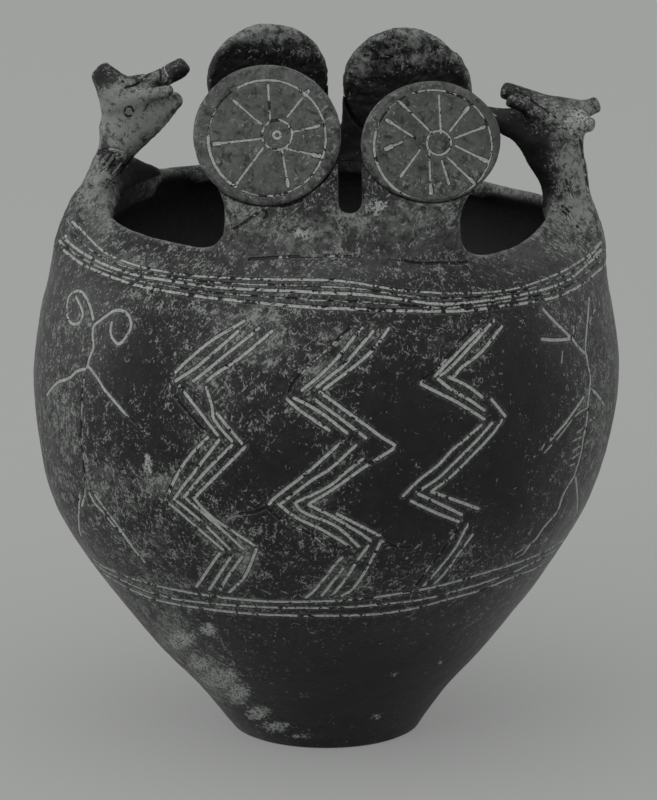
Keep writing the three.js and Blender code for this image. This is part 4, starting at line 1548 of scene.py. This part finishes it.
def srgb(grey, green=0.03):
    """Linear colour of a grey that reads as this 0 to 255 value, with the faint green tone of the print."""
    value = grey / 255
    linear = value / 12.92 if value <= 0.04045 else ((value + 0.055) / 1.055) ** 2.4
    return (linear * (1 - green), linear, linear * (1 - green), 1.0)


# Greys of the clay, and of the painted light and shade on it, as they read in the photograph
DARK_BODY, LIGHT_BODY = srgb(15), srgb(36)
SOOT_AND_SHADE_GREY = srgb(14)
FILM_AND_LIGHT_GREY = srgb(112)
BARE_GREY = srgb(165)
DARK_BURNISH, LIGHT_BURNISH = srgb(72), srgb(104)
SCRATCH_GREY = srgb(138)
FLECK_GREY = srgb(130)
SPECK_GREY = srgb(10)
HOLLOW_GREY = srgb(18)
CRUST_GREY = srgb(172)
PIT_GREY = srgb(14)
HALO_GREY = srgb(112)
CUT_SHADE_GREY = srgb(12)
DARK_FILL, LIGHT_FILL = srgb(146), srgb(192)
LOW_INSIDE_SHADE, HIGH_INSIDE_SHADE = srgb(92), srgb(12)

# Heights in metres between which the painted shade of the inside darkens towards the rim
INSIDE_SHADE_HEIGHTS = (0.24, 0.305)

# Pale scratches: length and width in millimetres, and lean in degrees
SCRATCHES = ((5.0, 1.15, 25), (3.6, 1.0, 80), (4.4, 1.1, 140), (2.6, 1.2, 112))


class Nodes:
    """Short way to write a material's node tree."""

    def __init__(self, name):
        self.material = bpy.data.materials.new(name)
        self.material.use_nodes = True
        self.tree = self.material.node_tree
        self.tree.nodes.clear()
        self.output = self.tree.nodes.new("ShaderNodeOutputMaterial")
        self.shader = self.tree.nodes.new("ShaderNodeBsdfPrincipled")
        self.tree.links.new(self.shader.outputs[0], self.output.inputs["Surface"])
        self.spot = self.add("ShaderNodeTexCoord").outputs["Object"]

    def add(self, kind, **inputs):
        node = self.tree.nodes.new(kind)
        for key, value in inputs.items():
            socket = key.replace("_", " ")
            if socket in node.inputs:
                self.put(node.inputs[socket], value)
            else:
                setattr(node, key, value)
        return node

    def put(self, socket, value):
        if isinstance(value, bpy.types.NodeSocket):
            self.tree.links.new(value, socket)
        else:
            socket.default_value = value

    def noise(self, size, detail, roughness, distortion=0.0, place=None):
        """Noise whose lumps are about this many millimetres across."""
        node = self.add("ShaderNodeTexNoise", Vector=place or self.spot, Scale=1 / (size * METRE),
                        Detail=detail, Roughness=roughness, Distortion=distortion)
        return node.outputs["Fac"]

    def dashes(self, length, width, turn):
        """Noise drawn out into short dashes that lean by this angle on the front of the bowl."""
        lean = (0.3 * math.sin(turn), math.radians(turn), 0.2)
        place = self.add("ShaderNodeMapping", vector_type="TEXTURE", Vector=self.spot, Rotation=lean,
                         Scale=(length / width, 1.5, 1))
        return self.noise(width, 1, 0.5, 0.5, place.outputs["Vector"])

    def painted(self, name):
        return self.add("ShaderNodeAttribute", attribute_name=name).outputs["Fac"]

    def ramp(self, value, low, high, start=0.0, end=1.0):
        node = self.add("ShaderNodeMapRange", Value=value)
        for socket, number in zip(("From Min", "From Max", "To Min", "To Max"), (low, high, start, end)):
            node.inputs[socket].default_value = number
        return node.outputs["Result"]

    def math(self, operation, a, b, c=0.0):
        node = self.add("ShaderNodeMath", operation=operation)
        for socket, value in zip(node.inputs, (a, b, c)):
            self.put(socket, value)
        return node.outputs[0]

    def mix(self, factor, a, b):
        node = self.add("ShaderNodeMix", data_type="RGBA")
        self.put(node.inputs["Factor"], factor)
        self.put(node.inputs[6], a)
        self.put(node.inputs[7], b)
        return node.outputs[2]

    def bump(self, height, strength, distance, normal=None):
        node = self.add("ShaderNodeBump", Height=height, Strength=strength, Distance=distance * METRE)
        if normal is not None:
            self.put(node.inputs["Normal"], normal)
        return node.outputs["Normal"]


def clay_material(name, wear, blotch, gloss):
    """Old burnished clay: dark, with pale scratches, worn or crusted in places, white in its cut lines, with
    painted light on lit sides and painted shade in its cuts, its inside and shaded places.
    """
    n = Nodes(name)
    line, lime, inside = n.painted("line"), n.painted("lime"), n.painted("inside")
    scuff_and_light, crust, soot_and_shade = n.painted("scuff_and_light"), n.painted("crust"), n.painted("soot_and_shade")
    smooth = n.painted("smooth")
    cloud = n.noise(38, 3, 0.55)
    mottle = n.noise(8, 5, 0.68, 0.4)
    spots = n.noise(4.6, 4, 0.7, 0.3)
    fleck = n.noise(1.5, 3, 0.7)
    speck = n.noise(0.9, 2, 0.6)

    # How worn and how lit each place is: wear with painted light as painted, more in some clouds than in
    # others, and less under soot and painted shade
    worn_and_lit = n.math("MULTIPLY", n.math("ADD", scuff_and_light, wear), n.ramp(cloud, 0.32, 0.66, 0.6, 1.3))
    worn_and_lit = n.math("MAXIMUM", n.math("MULTIPLY_ADD", soot_and_shade, -0.85, worn_and_lit), 0.0)
    body = n.mix(n.ramp(mottle, 0.36, 0.66), DARK_BODY, LIGHT_BODY)
    # Soot and painted shade darken the body
    body = n.mix(n.math("MULTIPLY", soot_and_shade, 0.75), body, SOOT_AND_SHADE_GREY)

    # A thin pale film that is also painted light on lit sides, then blotches of bare clay, then the even grey
    # of burnished places
    film_and_light = n.ramp(n.math("MULTIPLY_ADD", mottle, 1.1, worn_and_lit), 0.85, 1.85, 0.0, 0.85)
    body = n.mix(film_and_light, body, FILM_AND_LIGHT_GREY)
    bare = n.math("MULTIPLY", n.ramp(spots, 0.47, 0.63), n.ramp(worn_and_lit, 0.1, 0.9, 0.0, blotch))
    body = n.mix(bare, body, BARE_GREY)
    burnish = n.mix(n.ramp(mottle, 0.34, 0.68), DARK_BURNISH, LIGHT_BURNISH)
    body = n.mix(n.math("MULTIPLY", smooth, 0.85), body, burnish)

    # Short pale scratches in four directions, in clumps, and flecks; then dark specks and hollows
    clump = n.math("MULTIPLY_ADD", n.noise(6, 3, 0.6), 0.5, n.math("MULTIPLY", worn_and_lit, 0.13))
    clump = n.math("MULTIPLY_ADD", smooth, -0.08, n.math("MULTIPLY_ADD", soot_and_shade, -0.15, clump))
    for length, width, turn in SCRATCHES:
        scratch = n.math("ADD", n.dashes(length, width, turn), clump)
        body = n.mix(n.ramp(scratch, 0.91, 1.0, 0.0, 0.85), body, SCRATCH_GREY)
    flecks = n.ramp(n.math("MULTIPLY_ADD", clump, 0.4, fleck), 0.79, 0.87, 0.0, 0.75)
    body = n.mix(flecks, body, FLECK_GREY)
    body = n.mix(n.ramp(speck, 0.38, 0.28, 0.0, 0.8), body, SPECK_GREY)
    body = n.mix(n.ramp(spots, 0.46, 0.35, 0.0, 0.8), body, HOLLOW_GREY)

    # Pale crust with pits in it
    crusted = n.ramp(n.math("MULTIPLY_ADD", crust, 0.34, n.noise(3.2, 5, 0.8)), 0.72, 0.8)
    body = n.mix(crusted, body, CRUST_GREY)
    pits = n.math("MULTIPLY", n.ramp(fleck, 0.5, 0.42), n.ramp(crust, 0.25, 0.75, 0.0, 0.85))
    body = n.mix(pits, body, PIT_GREY)

    # White fill in the lines, lost in places, between the edges of the cut with painted shade in them
    ragged = n.math("MULTIPLY_ADD", n.noise(1.8, 3, 0.65), 0.85, n.math("SUBTRACT", line, 0.42))
    left = n.math("MULTIPLY_ADD", n.noise(6, 4, 0.72), 4.2, n.math("SUBTRACT", lime, 2.1))
    kept = n.ramp(left, 0.3, 0.46)
    halo = n.math("MULTIPLY", n.ramp(ragged, 2.7, 1.6), n.ramp(fleck, 0.42, 0.62, 0.0, 0.5))
    body = n.mix(halo, body, HALO_GREY)
    # Painted shade in the edges of the cut
    body = n.mix(n.ramp(ragged, 1.5, 1.05, 0.0, 0.9), body, CUT_SHADE_GREY)
    filled = n.math("MULTIPLY", n.ramp(ragged, 0.98, 0.74), kept)
    body = n.mix(filled, body, n.mix(n.ramp(fleck, 0.35, 0.7), DARK_FILL, LIGHT_FILL))

    # Painted shade on the inside, in the hollow on the left neck and on two parts of the lip, darker towards
    # the rim
    height = n.add("ShaderNodeSeparateXYZ", Vector=n.spot).outputs["Z"]
    inside_shade = n.mix(n.ramp(height, *INSIDE_SHADE_HEIGHTS), LOW_INSIDE_SHADE, HIGH_INSIDE_SHADE)
    body = n.mix(n.math("MULTIPLY", inside, 0.9), body, inside_shade)
    n.put(n.shader.inputs["Base Color"], body)

    # Gloss where the burnish is left
    matt = n.math("MAXIMUM", n.math("MAXIMUM", filled, crusted), n.math("MULTIPLY", inside, 0.9))
    matt = n.math("MAXIMUM", matt, n.math("MULTIPLY", soot_and_shade, 0.5))
    dull = n.math("MAXIMUM", matt, n.math("MULTIPLY", worn_and_lit, n.ramp(fleck, 0.35, 0.6, 0.3, 0.9)))
    n.put(n.shader.inputs["Roughness"], n.ramp(dull, 0.0, 1.0, gloss, 0.85))
    n.shader.inputs["Specular IOR Level"].default_value = 0.32

    # Relief: grain, lumps, crust and the sides of the cuts
    grain = n.bump(fleck, 0.5, 0.3)
    lumps = n.bump(n.math("MULTIPLY_ADD", spots, 0.6, mottle), 0.6, 0.6, grain)
    crusty = n.bump(n.math("MULTIPLY", crusted, n.noise(1.2, 3, 0.7)), 0.7, 0.6, lumps)
    cut = n.math("MULTIPLY", n.ramp(ragged, 1.2, 0.6), n.math("MULTIPLY_ADD", kept, -0.55, 1.0))
    n.put(n.shader.inputs["Normal"], n.bump(cut, 0.8, -0.7, crusty))
    return n.material


# Material of each slot: wear all over, strength of the bare blotches, and roughness of the burnished clay
CLAYS = {
    "dark_clay": (0.0, 0.15, 0.32),
    "polished_clay": (0.0, 0.15, 0.32),
    "scuffed_clay": (0.15, 0.9, 0.42),
}
MATERIALS = {slot: clay_material(slot, *values) for slot, values in CLAYS.items()}

# The floor and how much of its seen brightness is its own, for an even pale ground with the object's shadow
FLOOR_COLOUR = srgb(186, 0.015)
GLOW_COLOUR = srgb(164, 0.015)
GLOW_SHARE = 0.5

# Light of the world and of a wide sun, then lamps: name, place, size and power
WORLD_COLOUR = srgb(150)
WORLD_STRENGTH = 1.4
SKY_STRENGTH = 0.8
SKY_ANGLE = math.radians(80)
SKY_WAY = (0.15, 0.35, -1.0)
LAMP_AIM = (0.0, 0.0, 0.2)
LAMPS = (
    ("key", (-1.8, -2.3, 1.4), 1.6, 13),
    ("fill", (2.3, -1.9, 1.0), 1.8, 2),
    ("left edge", (-2.1, 0.6, 0.6), 1.2, 5),
    ("right edge", (2.1, 0.6, 0.6), 1.2, 2),
)


def add_stage():
    """Pale floor that curves up into a backdrop, as in a photographer's studio."""
    width, front, back, rise, bend, steps = 18.0, -9.0, 10.0, 3.0, 1.5, 12
    outline = [(front, 0.0), (back - bend, 0.0)]
    for step in range(1, steps + 1):
        turn = math.radians(90 * step / steps)
        outline.append((back - bend + bend * math.sin(turn), bend - bend * math.cos(turn)))
    outline.append((back, rise))
    verts = [(x, y, z) for y, z in outline for x in (-width / 2, width / 2)]
    faces = [(2 * i, 2 * i + 1, 2 * i + 3, 2 * i + 2) for i in range(len(outline) - 1)]
    mesh = bpy.data.meshes.new("floor")
    mesh.from_pydata(verts, [], faces)
    for face in mesh.polygons:
        face.use_smooth = True
    floor = bpy.data.objects.new("floor", mesh)
    bpy.context.collection.objects.link(floor)
    n = Nodes("studio_floor")
    n.put(n.shader.inputs["Base Color"], FLOOR_COLOUR)
    n.shader.inputs["Roughness"].default_value = 0.95
    n.shader.inputs["Specular IOR Level"].default_value = 0.1
    ray = n.add("ShaderNodeLightPath")
    looked_at = n.math("MAXIMUM", ray.outputs["Is Camera Ray"], ray.outputs["Is Glossy Ray"])
    plain = n.add("ShaderNodeEmission", Color=GLOW_COLOUR, Strength=1.0)
    both = n.tree.nodes.new("ShaderNodeMixShader")
    n.put(both.inputs[0], n.math("MULTIPLY", looked_at, GLOW_SHARE))
    n.put(both.inputs[1], n.shader.outputs[0])
    n.put(both.inputs[2], plain.outputs[0])
    n.put(n.output.inputs["Surface"], both.outputs[0])
    mesh.materials.append(n.material)


def add_light(name, kind, way):
    """New light that shines this way, and the object that holds it."""
    light = bpy.data.lights.new(name, kind)
    holder = bpy.data.objects.new(name, light)
    holder.rotation_euler = Vector(way).to_track_quat("-Z", "Y").to_euler()
    bpy.context.collection.objects.link(holder)
    return light, holder


def add_lights():
    """Even light from the world and a wide sun, and four soft lamps."""
    world = bpy.data.worlds.new("studio")
    world.use_nodes = True
    background = world.node_tree.nodes["Background"]
    background.inputs["Color"].default_value = WORLD_COLOUR
    background.inputs["Strength"].default_value = WORLD_STRENGTH
    bpy.context.scene.world = world
    sky, _ = add_light("soft sky", "SUN", SKY_WAY)
    sky.energy = SKY_STRENGTH
    sky.angle = SKY_ANGLE
    for name, place, size, power in LAMPS:
        lamp, holder = add_light(name, "AREA", Vector(LAMP_AIM) - Vector(place))
        holder.location = place
        lamp.shape = "DISK"
        lamp.size = size
        lamp.energy = power


def add_camera():
    camera = bpy.data.cameras.new("camera")
    camera.sensor_fit = "VERTICAL"
    camera.sensor_height = SENSOR_HEIGHT
    camera.lens = LENS
    camera.clip_end = 50
    holder = bpy.data.objects.new("camera", camera)
    holder.location = Vector(EYE * METRE)
    holder.rotation_euler = Vector(-BACKWARD).to_track_quat("-Z", "Y").to_euler()
    bpy.context.collection.objects.link(holder)
    bpy.context.scene.camera = holder


make_wall()
for side in ("left", "right"):
    make_animal(side)
for name in PEDESTALS:
    make_pedestal(name)
for name in DISCS:
    make_disc(name)
add_stage()
add_lights()
add_camera()
bpy.context.scene.view_settings.view_transform = "Standard"
